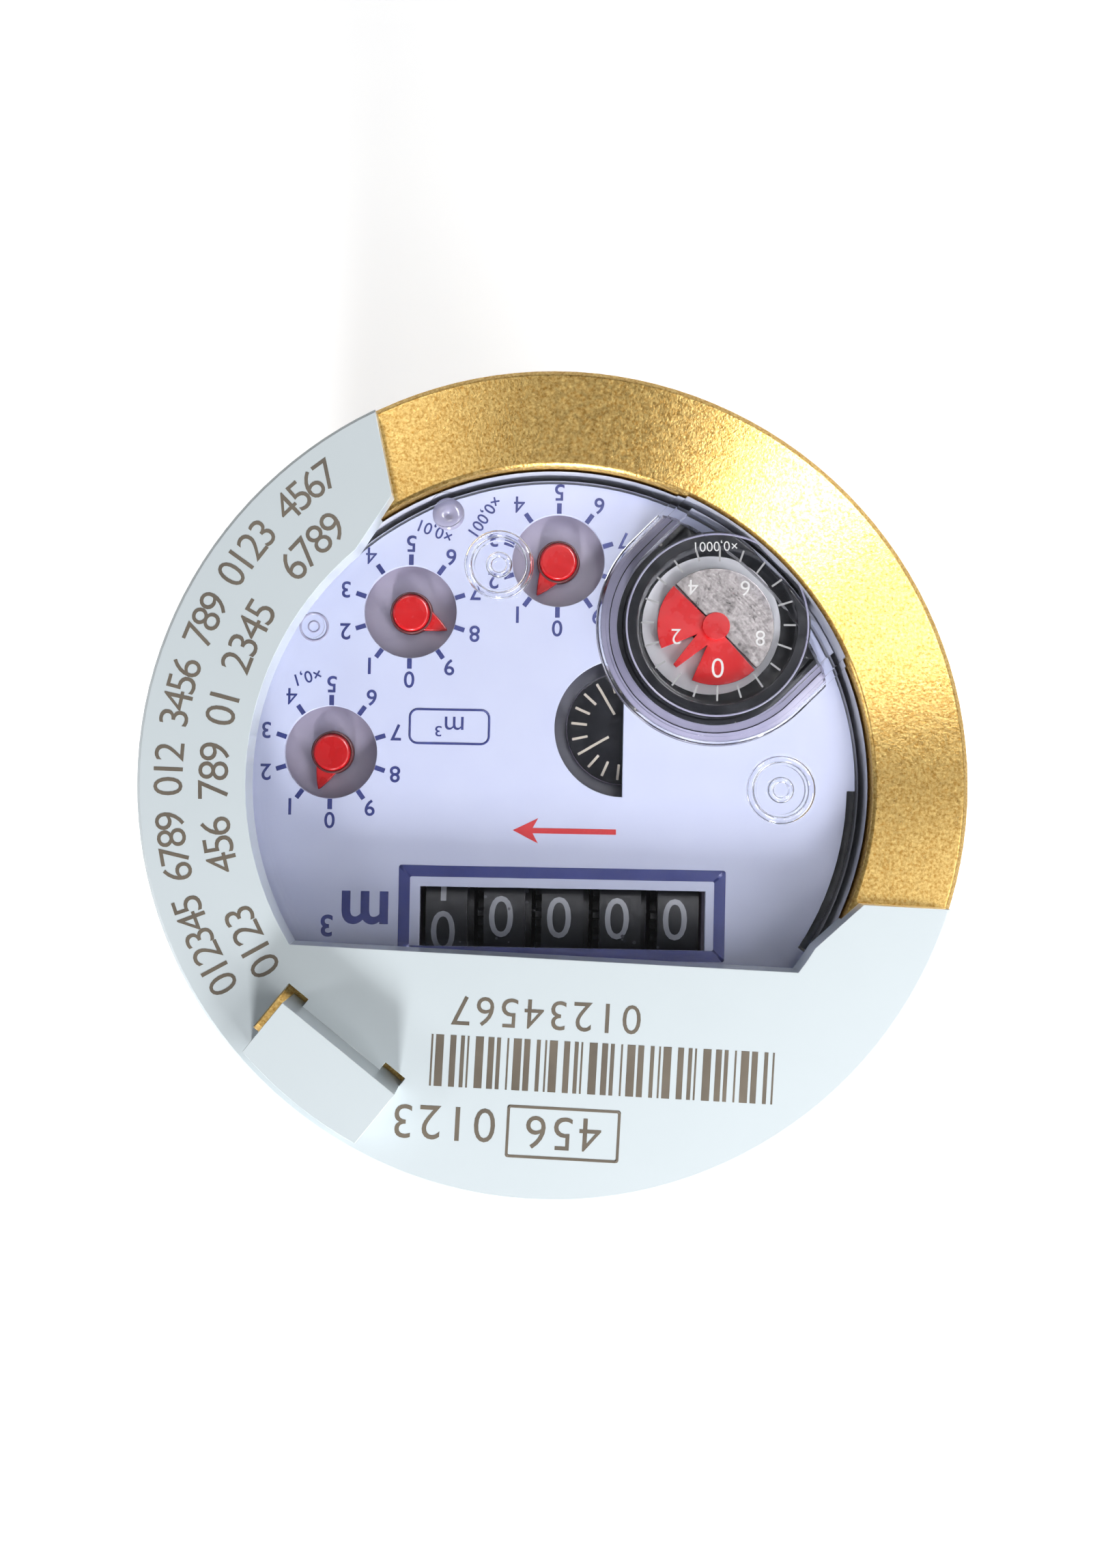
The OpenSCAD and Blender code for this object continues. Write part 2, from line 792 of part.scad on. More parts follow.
module litre_collar() {
    wall_h = z_tower - tower_wall - air - z_dial_top;
    color(black)
        intersection() {
            translate([litre_p[0], litre_p[1], z_dial_top])
                rotate_extrude()
                    polygon([[arbor_shaft + air, 0], [collar_r, 0], [collar_r, wall_h],
                        [collar_in_r, wall_h], [collar_in_r - collar_flare, collar_floor],
                        [arbor_shaft + air, collar_floor]]);
            translate([0, 0, z_dial_top])
                cylinder(h = wall_h, r = base_r);
        }
}

// Upper frame with the two cheeks that carry the counter shafts
module gear_plate() {
    opening_y = sqrt(roller_r * roller_r - pow(z_plate - z_roller, 2)) + 2 * air;
    left_x = left_cheek + cheek_t;
    cheek_top = z_plate - z_roller + plate_t / 2;
    carry_at = [carry_y - roller_y, carry_z - z_roller];
    color(natural)
        difference() {
            union() {
                translate([0, 0, z_plate])
                    cylinder(h = plate_t, r = base_in_r - air);
                for (x = [left_cheek, right_cheek])
                    along_x(x, roller_y, z_roller)
                        linear_extrude(cheek_t)
                            polygon([[-cheek_half, cheek_top], [-cheek_half, -cheek_low],
                                [cheek_half, -cheek_low], carry_at - [cheek_edge, cheek_edge],
                                carry_at + [cheek_edge, -cheek_edge],
                                [carry_at[0] + cheek_edge, cheek_top]]);
            }
            translate([left_x, roller_y - opening_y, z_plate - over])
                cube([right_cheek - left_x, 2 * opening_y, plate_t + 2 * over]);
            for (p = concat([[0, 0]], arbor_p, [for (k = [1 : 5]) idler_p[k]]))
                translate([p[0], p[1], z_plate - over])
                    cylinder(h = plate_t + 2 * over, r = pivot_shaft + run_fit);
            for (a = post_a)
                rotate(a)
                    translate([post_circle, 0, z_plate - over])
                        cylinder(h = plate_t + 2 * over, r = screw_r);
            along_x(left_cheek - over, roller_y, z_roller)
                cylinder(h = cheek_t + 2 * over, r = roller_shaft_r);
            along_x(right_cheek - over, roller_y, z_roller)
                cylinder(h = cheek_t + 2 * over, r = neck_hub + run_fit);
            for (x = [left_cheek, right_cheek])
                along_x(x - over, carry_y, carry_z)
                    cylinder(h = cheek_t + 2 * over, r = carry_shaft_r);
        }
}

module register_screws()
    color(steel)
        for (a = post_a)
            rotate(a)
                translate([post_circle, 0, z_plate_top]) {
                    cylinder(h = screw_head_h, r = screw_head_r);
                    translate([0, 0, -screw_len])
                        cylinder(h = screw_len, r = screw_r);
                }

module roller_shaft()
    color(steel)
        along_x(left_cheek, roller_y, z_roller)
            cylinder(h = right_cheek + cheek_t - left_cheek, r = roller_shaft_r);

module carry_shaft()
    color(steel)
        along_x(left_cheek, carry_y, carry_z)
            cylinder(h = right_cheek + cheek_t - left_cheek, r = carry_shaft_r);

module follower_arbor()
    color(natural) {
        translate([0, 0, z_pot + pot_wall + end_play])
            cylinder(h = z_plate - z_pot - pot_wall - 2 * end_play, r = arbor_shaft);
        translate([0, 0, z_pot + pot_wall / 2 + end_play])
            cylinder(h = z_plate_top - z_pot - pot_wall / 2 - end_play, r = pivot_shaft);
        translate([0, 0, follower_mag_z + follower_mag_h])
            cylinder(h = follower_cap, r = follower_mag_r);
        translate([0, 0, layer_z(2)])
            gear(follower_n, train_m, gear_face);
    }

module follower_magnet()
    color(magnet)
        translate([0, 0, follower_mag_z])
            difference() {
                cylinder(h = follower_mag_h, r = follower_mag_r);
                translate([0, 0, -over])
                    cylinder(h = follower_mag_h + 2 * over, r = arbor_shaft);
            }

// Arbor k: a wheel driven by idler k and a pinion that drives the next idler
module arbor(k, top, has_pinion = true)
    translate([arbor_p[k][0], arbor_p[k][1], 0]) {
        spindle(z_floor + end_play, z_plate - end_play, top);
        translate([0, 0, layer_z(wheel_layer(k))])
            gear(wheel_n, train_m, gear_face, wheel_turn(k));
        if (has_pinion)
            translate([0, 0, layer_z(idler_layer(k + 1))])
                gear(pinion_n, train_m, gear_face);
    }

// Idler k: a wheel driven by arbor k - 1 and a pinion that drives arbor k
module idler(k)
    color(natural)
        translate([idler_p[k][0], idler_p[k][1], 0]) {
            spindle(z_floor + end_play, z_plate - end_play, z_plate_top);
            translate([0, 0, layer_z(idler_layer(k))])
                gear(wheel_n, train_m, gear_face, idler_turn(k));
            translate([0, 0, layer_z(wheel_layer(k))])
                gear(idler_n, train_m, gear_face);
        }

module star_arbor()
    color(natural)
        arbor(0, hub_top);

module star_disc()
    color(black)
        translate([arbor_p[0][0], arbor_p[0][1], z_plate_top + air])
            difference() {
                cylinder(h = star_t, r = star_hole_r - star_edge);
                translate([0, 0, -over])
                    cylinder(h = star_t + 2 * over, r = pivot_shaft);
            }

module idler_1() idler(1);
module idler_2() idler(2);
module idler_3() idler(3);
module idler_4() idler(4);
module idler_5() idler(5);

module litre_arbor()
    color(natural)
        arbor(1, litre_z + litre_t);

// Red half of the litre disc: two lobes, a pointer between them and a hub
module litre_disc() {
    tip_r = litre_r - seat_air;
    root_half = 1.1;
    tip_half = 0.25;
    color(red)
        translate([litre_p[0], litre_p[1], litre_z])
            rotate(litre_pointer_a)
                difference() {
                    union() {
                        linear_extrude(litre_t)
                            intersection() {
                                circle(r = litre_r);
                                union() {
                                    for (s = [-1, 1])
                                        polygon([[0, 0], polar(2 * litre_r, s * lobe_from),
                                            polar(2 * litre_r, s * lobe_mid),
                                            polar(2 * litre_r, s * lobe_to)]);
                                    polygon([[0, -root_half], [tip_r, -tip_half],
                                        [tip_r, tip_half], [0, root_half]]);
                                }
                            }
                        cylinder(h = litre_t + litre_hub_h, r = litre_hub_r);
                    }
                    translate([0, 0, -over])
                        cylinder(h = litre_t + over, r = pivot_shaft);
                }
}

// Metal half of the litre disc, seated on the hub
module litre_target()
    color(steel)
        translate([litre_p[0], litre_p[1], litre_z])
            rotate(litre_pointer_a)
                linear_extrude(litre_t - seat_air)
                    difference() {
                        circle(r = litre_r);
                        circle(r = litre_hub_r);
                        translate([-run_fit, -2 * litre_r])
                            square(4 * litre_r);
                    }

// Pointer: a hub cap with a pointed blade
module pointer(k, a) {
    tip_r = well_r - pointer_air;
    color(red)
        translate([arbor_p[k][0], arbor_p[k][1], z_plate_top + air])
            difference() {
                union() {
                    cylinder(h = pointer_hub_h, r = pointer_hub_r);
                    rotate(a)
                        linear_extrude(pointer_t)
                            polygon([[0, -pointer_half], [tip_r, -pointer_tip], [tip_r, pointer_tip],
                                [0, pointer_half]]);
                }
                translate([0, 0, -over])
                    cylinder(h = hub_top - z_plate_top - air + over, r = pivot_shaft);
            }
}

module third_arbor()
    color(natural)
        arbor(2, hub_top);
module second_arbor()
    color(natural)
        arbor(3, hub_top);
module first_arbor()
    color(natural)
        arbor(4, hub_top);
module third_pointer() pointer(2, third_pointer_a);
module second_pointer() pointer(3, second_pointer_a);
module first_pointer() pointer(4, first_pointer_a);

// Bevel arbor: its wheel at the foot, its bevel above the roller axis
module bevel_arbor()
    color(natural) {
        arbor(5, z_plate_top, false);
        translate([bevel_p[0], bevel_p[1], z_roller + bevel_r])
            mirror([0, 0, 1])
                rotate(180 + 180 / bevel_n)
                    linear_extrude(bevel_face, scale = 1 - bevel_face / bevel_r)
                        polygon(tooth_ring(bevel_n, bevel_m));
    }

// Roller i: drum, ring that is driven and disc that drives the next carry pinion
module roller(i)
    color(black)
        difference() {
            union() {
                along_x(roller_at(i) - drum_w / 2, roller_y, z_roller)
                    cylinder(h = drum_w, r = roller_r);
                if (i > 1)
                    along_x(roller_at(i), roller_y, z_roller)
                        gear(carry_ring_n, carry_m, drum_w / 2 + ring_w, ring_turn);
                if (i < roller_n)
                    along_x(roller_at(i) - drum_w / 2 - ring_w, roller_y, z_roller)
                        cylinder(h = ring_w + drum_w / 2, r = lock_r);
                if (i == 1) {
                    along_x(roller_at(i), roller_y, z_roller)
                        cylinder(h = drum_w / 2 + bevel_neck, r = neck_hub);
                    along_x(bevel_p[0] - bevel_r, roller_y, z_roller)
                        rotate(90)
                            linear_extrude(bevel_face, scale = 1 - bevel_face / bevel_r)
                                polygon(tooth_ring(bevel_n, bevel_m));
                }
            }
            along_x(roller_at(i) - roller_pitch, roller_y, z_roller)
                cylinder(h = 3 * roller_pitch, r = roller_shaft_r + run_fit);
        }

module roller_1() roller(1);
module roller_2() roller(2);
module roller_3() roller(3);
module roller_4() roller(4);
module roller_5() roller(5);

// Carry pinion between rollers i and i + 1: all teeth on one half, every other on the other
module carry_pinion(i)
    color(natural)
        along_x(roller_at(i) - roller_pitch / 2 - carry_w / 2, carry_y, carry_z)
            difference() {
                union() {
                    gear(carry_n, carry_m, carry_w / 2, carry_turn);
                    translate([0, 0, carry_w / 2])
                        gear(carry_n, carry_m, carry_w / 2, carry_turn + 180 / (carry_n / 2), 2);
                }
                translate([0, 0, -over])
                    cylinder(h = carry_w + 2 * over, r = carry_shaft_r + run_fit);
            }

module carry_pinion_1() carry_pinion(1);
module carry_pinion_2() carry_pinion(2);
module carry_pinion_3() carry_pinion(3);
module carry_pinion_4() carry_pinion(4);

head_ring();
flange_seal();
pressure_plate();
body_seal();
snap_ring();
insert_housing();
impeller_cup();
strainer();
port_o_ring();
pivot_pin();
impeller();
drive_magnet();
pivot_jewel();
cover_plate();
clear_cup();
register_base();
dial_plate();
litre_collar();
gear_plate();
register_screws();
roller_shaft();
carry_shaft();
follower_arbor();
follower_magnet();
star_arbor();
star_disc();
idler_1();
idler_2();
idler_3();
idler_4();
idler_5();
litre_arbor();
litre_disc();
litre_target();
third_arbor();
third_pointer();
second_arbor();
second_pointer();
first_arbor();
first_pointer();
bevel_arbor();
roller_1();
roller_2();
roller_3();
roller_4();
roller_5();
carry_pinion_1();
carry_pinion_2();
carry_pinion_3();
carry_pinion_4();
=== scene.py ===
import json
import math

import bmesh
import bpy
from mathutils import Matrix, Vector


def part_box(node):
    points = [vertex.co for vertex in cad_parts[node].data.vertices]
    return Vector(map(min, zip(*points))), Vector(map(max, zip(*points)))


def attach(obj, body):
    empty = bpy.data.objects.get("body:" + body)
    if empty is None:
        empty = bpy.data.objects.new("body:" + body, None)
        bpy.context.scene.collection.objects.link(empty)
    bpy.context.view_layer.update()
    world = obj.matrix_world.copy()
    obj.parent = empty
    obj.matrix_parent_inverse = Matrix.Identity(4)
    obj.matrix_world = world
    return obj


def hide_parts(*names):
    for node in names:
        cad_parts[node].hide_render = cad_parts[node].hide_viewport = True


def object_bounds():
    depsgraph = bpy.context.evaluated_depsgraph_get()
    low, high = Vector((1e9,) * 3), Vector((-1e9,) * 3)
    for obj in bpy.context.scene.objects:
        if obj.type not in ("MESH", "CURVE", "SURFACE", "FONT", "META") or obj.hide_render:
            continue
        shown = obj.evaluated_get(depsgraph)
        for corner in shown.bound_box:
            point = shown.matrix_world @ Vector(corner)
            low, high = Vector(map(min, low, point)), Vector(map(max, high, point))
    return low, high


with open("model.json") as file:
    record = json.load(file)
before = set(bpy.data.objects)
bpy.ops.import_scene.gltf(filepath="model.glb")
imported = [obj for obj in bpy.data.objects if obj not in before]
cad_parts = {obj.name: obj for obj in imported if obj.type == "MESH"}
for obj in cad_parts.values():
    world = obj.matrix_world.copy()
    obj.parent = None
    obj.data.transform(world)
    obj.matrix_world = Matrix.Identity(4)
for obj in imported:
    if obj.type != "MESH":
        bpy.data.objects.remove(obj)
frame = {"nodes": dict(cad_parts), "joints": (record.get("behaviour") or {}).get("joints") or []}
cad_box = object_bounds()
nodes = frame["nodes"]
pivot = {j["child"]: Vector(j["pos_m"]) for j in frame["joints"]}
scene = bpy.context.scene
MM = 0.001


def srgb(red, green, blue):
    out = []
    for channel in (red, green, blue):
        c = channel / 255
        out.append(c / 12.92 if c <= 0.04045 else ((c + 0.055) / 1.055) ** 2.4)
    return (*out, 1.0)


# Camera of the photograph: straight down on the window, the reader's way up turned round

tilt = math.radians(1.07)
view_angle = math.radians(40.44)
view_height = 0.2325
view_shift = (0.066 * MM, 0.185 * MM)
right = Vector((-math.cos(tilt), -math.sin(tilt), 0))
up = Vector((math.sin(tilt), -math.cos(tilt), 0))
camera_data = bpy.data.cameras.new("camera")
camera_data.sensor_fit = "HORIZONTAL"
camera_data.angle = view_angle
camera_data.clip_start = 0.005
camera = bpy.data.objects.new("camera", camera_data)
scene.collection.objects.link(camera)
eye = right * view_shift[0] + up * view_shift[1] + Vector((0, 0, view_height))
camera.matrix_world = Matrix.Translation(eye) @ Matrix((right, up, right.cross(up))).transposed().to_4x4()
scene.camera = camera


# Node helpers

def feed(tree, value, socket):
    if isinstance(value, bpy.types.NodeSocket):
        tree.links.new(value, socket)
    else:
        socket.default_value = value


def put(tree, kind, settings=None, **inputs):
    node = tree.nodes.new(kind)
    for key, value in (settings or {}).items():
        setattr(node, key, value)
    for key, value in inputs.items():
        feed(tree, value, node.inputs[key.replace("_", " ")])
    return node


def maths(tree, operation, *values):
    node = tree.nodes.new("ShaderNodeMath")
    node.operation = operation
    for socket, value in zip(node.inputs, values):
        feed(tree, value, socket)
    return node.outputs[0]


def spread(tree, value, low_in, high_in, low, high):
    node = put(tree, "ShaderNodeMapRange", None, Value=value)
    for key, number in (("From Min", low_in), ("From Max", high_in), ("To Min", low), ("To Max", high)):
        feed(tree, number, node.inputs[key])
    return node.outputs[0]


def blend_colours(tree, factor, first, second):
    node = tree.nodes.new("ShaderNodeMix")
    node.data_type = "RGBA"
    by_id = {s.identifier: s for s in node.inputs}
    feed(tree, factor, by_id["Factor_Float"])
    feed(tree, first, by_id["A_Color"])
    feed(tree, second, by_id["B_Color"])
    return next(s for s in node.outputs if s.identifier == "Result_Color")


def noise(tree, vector, scale, detail=2.0, roughness=0.5, distortion=0.0):
    return put(tree, "ShaderNodeTexNoise", None, Vector=vector, Scale=scale, Detail=detail,
               Roughness=roughness, Distortion=distortion).outputs[0]


def new_group(name, inputs, outputs):
    tree = bpy.data.node_groups.new(name, "ShaderNodeTree")
    for label, kind, value in inputs:
        socket = tree.interface.new_socket(label, in_out="INPUT", socket_type="NodeSocket" + kind)
        if value is not None:
            socket.default_value = value
    for label, kind in outputs:
        tree.interface.new_socket(label, in_out="OUTPUT", socket_type="NodeSocket" + kind)
    return tree, tree.nodes.new("NodeGroupInput").outputs, tree.nodes.new("NodeGroupOutput").inputs


def use_group(tree, group, **inputs):
    node = tree.nodes.new("ShaderNodeGroup")
    node.node_tree = group
    for key, value in inputs.items():
        feed(tree, value, node.inputs[key.replace("_", " ")])
    return node.outputs


# Shared surface effects

mottle, given, result = new_group(
    "mottle",
    [("Vector", "Vector", None), ("Scale", "Float", 1000.0), ("Low", "Float", 0.0), ("High", "Float", 1.0)],
    [("Value", "Float")])
grains = noise(mottle, given["Vector"], given["Scale"], 3.0, 0.6)
feed(mottle, spread(mottle, grains, 0.3, 0.7, given["Low"], given["High"]), result["Value"])

turned, given, result = new_group(
    "turned_lines",
    [("Vector", "Vector", None), ("Lines per metre", "Float", 9000.0)],
    [("Height", "Float")])
parts = put(turned, "ShaderNodeSeparateXYZ", None, Vector=given["Vector"]).outputs
radius = maths(turned, "SQRT", maths(turned, "ADD", maths(turned, "MULTIPLY", parts[0], parts[0]),
                                     maths(turned, "MULTIPLY", parts[1], parts[1])))
ring_place = put(turned, "ShaderNodeCombineXYZ", None, X=radius, Y=parts[2]).outputs[0]
feed(turned, noise(turned, ring_place, given["Lines per metre"], 2.0, 0.7), result["Height"])

dust, given, result = new_group(
    "dust",
    [("Vector", "Vector", None), ("Scale", "Float", 900.0), ("Cover", "Float", 0.1)],
    [("Mask", "Float")])
cells = put(dust, "ShaderNodeTexVoronoi", None, Vector=given["Vector"], Scale=given["Scale"])
chance = put(dust, "ShaderNodeSeparateColor", None, Color=cells.outputs["Color"]).outputs
kept = maths(dust, "LESS_THAN", chance[0], given["Cover"])
speck_r = maths(dust, "MULTIPLY_ADD", chance[1], 0.28, 0.06)
feed(dust, maths(dust, "MULTIPLY", kept, maths(dust, "LESS_THAN", cells.outputs["Distance"], speck_r)),
     result["Mask"])

flow, given, result = new_group(
    "flow_lines",
    [("Vector", "Vector", None), ("Scale", "Float", 60.0), ("Stretch", "Float", 4.0)],
    [("Height", "Float")])
drawn = put(flow, "ShaderNodeVectorMath", {"operation": "MULTIPLY"})
feed(flow, given["Vector"], drawn.inputs[0])
feed(flow, put(flow, "ShaderNodeCombineXYZ", None, X=1.0, Y=given["Stretch"], Z=1.0).outputs[0],
     drawn.inputs[1])
feed(flow, noise(flow, drawn.outputs[0], given["Scale"], 1.5, 0.4, 0.8), result["Height"])


# Finishes

def new_material(name, metallic=0.0, roughness=0.4, ior=1.5, coat=0.0, coat_roughness=0.1,
                 anisotropic=0.0, specular=0.5):
    material = bpy.data.materials.new(name)
    material.use_nodes = True
    tree = material.node_tree
    shader = next(n for n in tree.nodes if n.type == "BSDF_PRINCIPLED")
    for key, value in (("Metallic", metallic), ("Roughness", roughness), ("IOR", ior),
                       ("Coat Weight", coat), ("Coat Roughness", coat_roughness),
                       ("Anisotropic", anisotropic), ("Specular IOR Level", specular)):
        shader.inputs[key].default_value = value
    where = tree.nodes.new("ShaderNodeTexCoord").outputs["Object"]
    return material, tree, shader, where


def raise_bump(tree, shader, height, distance):
    bump = put(tree, "ShaderNodeBump", None, Height=height, Distance=distance, Strength=1.0)
    feed(tree, bump.outputs[0], shader.inputs["Normal"])


def moulded(name, colour, shade, roughness=(0.32, 0.46), grain=2600.0, depth=0.004 * MM, dusty=0.0,
            dust_colour=srgb(170, 168, 162), **settings):
    material, tree, shader, where = new_material(name, **settings)
    tone = use_group(tree, mottle, Vector=where, Scale=160.0, Low=0.0, High=1.0)[0]
    base = blend_colours(tree, tone, colour, shade)
    if dusty:
        specks = use_group(tree, dust, Vector=where, Scale=1500.0, Cover=dusty)[0]
        base = blend_colours(tree, specks, base, dust_colour)
    feed(tree, base, shader.inputs["Base Color"])
    feed(tree, use_group(tree, mottle, Vector=where, Scale=420.0, Low=roughness[0], High=roughness[1])[0],
         shader.inputs["Roughness"])
    raise_bump(tree, shader, use_group(tree, mottle, Vector=where, Scale=grain)[0], depth)
    return material


def turned_metal(name, colour, shade, roughness, lines, depth, speck_depth, anisotropic):
    material, tree, shader, where = new_material(name, metallic=1.0, anisotropic=anisotropic)
    tone = use_group(tree, mottle, Vector=where, Scale=3300.0)[0]
    feed(tree, blend_colours(tree, tone, colour, shade), shader.inputs["Base Color"])
    feed(tree, use_group(tree, mottle, Vector=where, Scale=1500.0, Low=roughness[0], High=roughness[1])[0],
         shader.inputs["Roughness"])
    grooves = use_group(tree, turned, Vector=where, Lines_per_metre=lines)[0]
    fine = use_group(tree, mottle, Vector=where, Scale=3600.0)[0]
    height = maths(tree, "ADD", maths(tree, "MULTIPLY", grooves, depth),
                   maths(tree, "MULTIPLY", fine, speck_depth))
    raise_bump(tree, shader, height, 1.0)
    if anisotropic:
        shader.inputs["Anisotropic Rotation"].default_value = 0.25
        feed(tree, put(tree, "ShaderNodeTangent", {"direction_type": "RADIAL", "axis": "Z"}).outputs[0],
             shader.inputs["Tangent"])
    return material


def clear_plastic(name, tint, waves, wave_depth, roughness=0.04):
    material, tree, shader, where = new_material(name, roughness=roughness, ior=1.49)
    shader.inputs["Transmission Weight"].default_value = 1.0
    shader.inputs["Base Color"].default_value = tint
    lines = use_group(tree, flow, Vector=where, Scale=waves, Stretch=3.0)[0]
    raise_bump(tree, shader, lines, wave_depth)
    through = put(tree, "ShaderNodeBsdfTransparent", None, Color=tint)
    mix = tree.nodes.new("ShaderNodeMixShader")
    path = tree.nodes.new("ShaderNodeLightPath").outputs
    feed(tree, maths(tree, "MAXIMUM", path["Is Shadow Ray"], path["Is Diffuse Ray"]), mix.inputs[0])
    feed(tree, shader.outputs[0], mix.inputs[1])
    feed(tree, through.outputs[0], mix.inputs[2])
    out = next(n for n in tree.nodes if n.type == "OUTPUT_MATERIAL")
    feed(tree, mix.outputs[0], out.inputs["Surface"])
    return material


brass = turned_metal("turned_brass", srgb(236, 205, 132), srgb(182, 136, 66), (0.27, 0.38), 5200.0,
                     0.005 * MM, 0.007 * MM, 0.85)
steel = turned_metal("bright_steel", srgb(205, 206, 208), srgb(182, 184, 188), (0.18, 0.30), 7000.0,
                     0.002 * MM, 0.002 * MM, 0.0)
silver = turned_metal("silver_target", srgb(130, 126, 125), srgb(98, 94, 93), (0.26, 0.46), 3000.0,
                      0.012 * MM, 0.003 * MM, 0.0)
ferrite = moulded("magnet_ferrite", srgb(52, 52, 56), srgb(40, 40, 44), (0.45, 0.6), 3200.0, 0.01 * MM)
white_plate = moulded("white_plate", srgb(205, 214, 218), srgb(204, 213, 217), (0.24, 0.26), 1800.0,
                      0.0004 * MM, coat=0.25, coat_roughness=0.12)
dial_white = moulded("dial_white", srgb(208, 213, 236), srgb(203, 208, 233), (0.42, 0.55), 2400.0,
                     0.003 * MM)
# Dark slate: painted shade for the recess round the star disc
painted_shade_slate = moulded("painted_shade_slate", srgb(96, 96, 106), srgb(82, 82, 92), (0.35, 0.5))
well_grey = moulded("frame_grey", srgb(196, 188, 206), srgb(180, 171, 190), (0.35, 0.5), 2400.0,
                    0.004 * MM)
black_gloss = moulded("black_gloss", srgb(28, 29, 34), srgb(20, 21, 25), (0.16, 0.26), 1600.0,
                      0.002 * MM, dusty=0.02, coat=0.2)
roller_black = moulded("roller_black", srgb(17, 19, 24), srgb(13, 15, 19), (0.36, 0.52), 1400.0,
                       0.006 * MM, dusty=0.10, dust_colour=srgb(80, 82, 88), specular=0.22)
natural = moulded("natural_plastic", srgb(228, 226, 214), srgb(216, 213, 199), (0.38, 0.52))
grey_insert = moulded("insert_plastic", srgb(158, 163, 168), srgb(146, 151, 157), (0.38, 0.52), 2200.0,
                      0.006 * MM)
red = moulded("red_plastic", srgb(216, 18, 24), srgb(200, 12, 18), (0.22, 0.34), 1800.0, 0.003 * MM,
              coat=0.2)
# Darker copy of the red plastic: painted shade for the ring round each pointer hub
painted_shade_red = moulded("painted_shade_red", srgb(96, 28, 30), srgb(78, 22, 24), (0.35, 0.5))
rubber = moulded("black_rubber", srgb(34, 34, 36), srgb(26, 26, 28), (0.55, 0.7), 2400.0, 0.012 * MM,
                 dusty=0.04, specular=0.3)
blue_ink = moulded("blue_ink", srgb(32, 44, 112), srgb(26, 36, 100), (0.38, 0.5))
red_ink = moulded("red_ink", srgb(204, 40, 44), srgb(190, 32, 36), (0.4, 0.5))
grey_ink = moulded("grey_ink", srgb(112, 102, 88), srgb(96, 87, 76), (0.4, 0.55))
pale_ink = moulded("pale_ink", srgb(158, 160, 166), srgb(142, 144, 150), (0.35, 0.5), dusty=0.10,
                   dust_colour=srgb(70, 72, 78))
star_ink = moulded("star_ink", srgb(206, 196, 180), srgb(184, 174, 158), (0.3, 0.45))
# Grey of the skirt seal, also used for the painted highlight on the collar edge and the painted shade rings
# under the window's pin and lens
seal_grey_and_painted_light = moulded("seal_grey_and_painted_light", srgb(170, 167, 190), srgb(152, 149, 172), (0.14, 0.24), coat=0.4)
frosted_mark = moulded("frosted_mark", srgb(160, 160, 162), srgb(146, 146, 150), (0.35, 0.5))
frosted_figure = moulded("frosted_figure", srgb(224, 224, 224), srgb(208, 208, 210), (0.35, 0.5))
wall_frost = moulded("frosted_wall", srgb(196, 198, 208), srgb(176, 178, 190), (0.4, 0.55))
litre_floor = moulded("litre_floor", srgb(230, 230, 232), srgb(216, 216, 220), (0.3, 0.45))
window_clear = clear_plastic("window_clear", (0.975, 0.98, 1.0, 1.0), 90.0, 0.06 * MM)


# Mesh helpers

edge_angle = math.radians(38)
flat_angle = math.radians(0.6)


def shade_by_angle(bm, degrees):
    limit = math.radians(degrees)
    for face in bm.faces:
        face.smooth = True
    for edge in bm.edges:
        edge.smooth = len(edge.link_faces) == 2 and edge.calc_face_angle(0.0) < limit


def add_piece(name, bm, material, body, stands_for=(), sharp=35):
    shade_by_angle(bm, sharp)
    mesh = bpy.data.meshes.new(name)
    bm.to_mesh(mesh)
    bm.free()
    mesh.materials.append(material)
    obj = bpy.data.objects.new(name, mesh)
    scene.collection.objects.link(obj)
    weigh = obj.modifiers.new("flat_faces_first", "WEIGHTED_NORMAL")
    weigh.keep_sharp = True
    obj.data = bpy.data.meshes.new_from_object(obj.evaluated_get(bpy.context.evaluated_depsgraph_get()))
    obj.modifiers.remove(weigh)
    obj.data.name = name
    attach(obj, body)
    if stands_for:
        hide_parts(*stands_for)
    return obj


def baked(obj):
    mesh = bpy.data.meshes.new_from_object(obj.evaluated_get(bpy.context.evaluated_depsgraph_get()))
    bpy.data.objects.remove(obj)
    return mesh


def merged_copy(node):
    bm = bmesh.new()
    bm.from_mesh(nodes[node].data)
    bmesh.ops.remove_doubles(bm, verts=bm.verts, dist=1e-6)
    return bm


def rounded(bm, width, segments=2):
    bmesh.ops.dissolve_limit(bm, angle_limit=flat_angle, verts=bm.verts, edges=bm.edges)
    mesh = bpy.data.meshes.new("rounding")
    bm.to_mesh(mesh)
    bm.free()
    obj = bpy.data.objects.new("rounding", mesh)
    scene.collection.objects.link(obj)
    bevel = obj.modifiers.new("edges", "BEVEL")
    bevel.width = width
    bevel.segments = segments
    bevel.limit_method = "ANGLE"
    bevel.angle_limit = edge_angle
    out = bmesh.new()
    out.from_mesh(baked(obj))
    return out


def round_node(node, width, material, body, segments=2):
    return add_piece(node + "_finished", rounded(merged_copy(node), width, segments), material, body,
                     (node,))


def stamp(bm, mesh, matrix):
    start = len(bm.verts)
    bm.from_mesh(mesh)
    bm.verts.ensure_lookup_table()
    for vert in bm.verts[start:]:
        vert.co = matrix @ vert.co


letter_store = {}


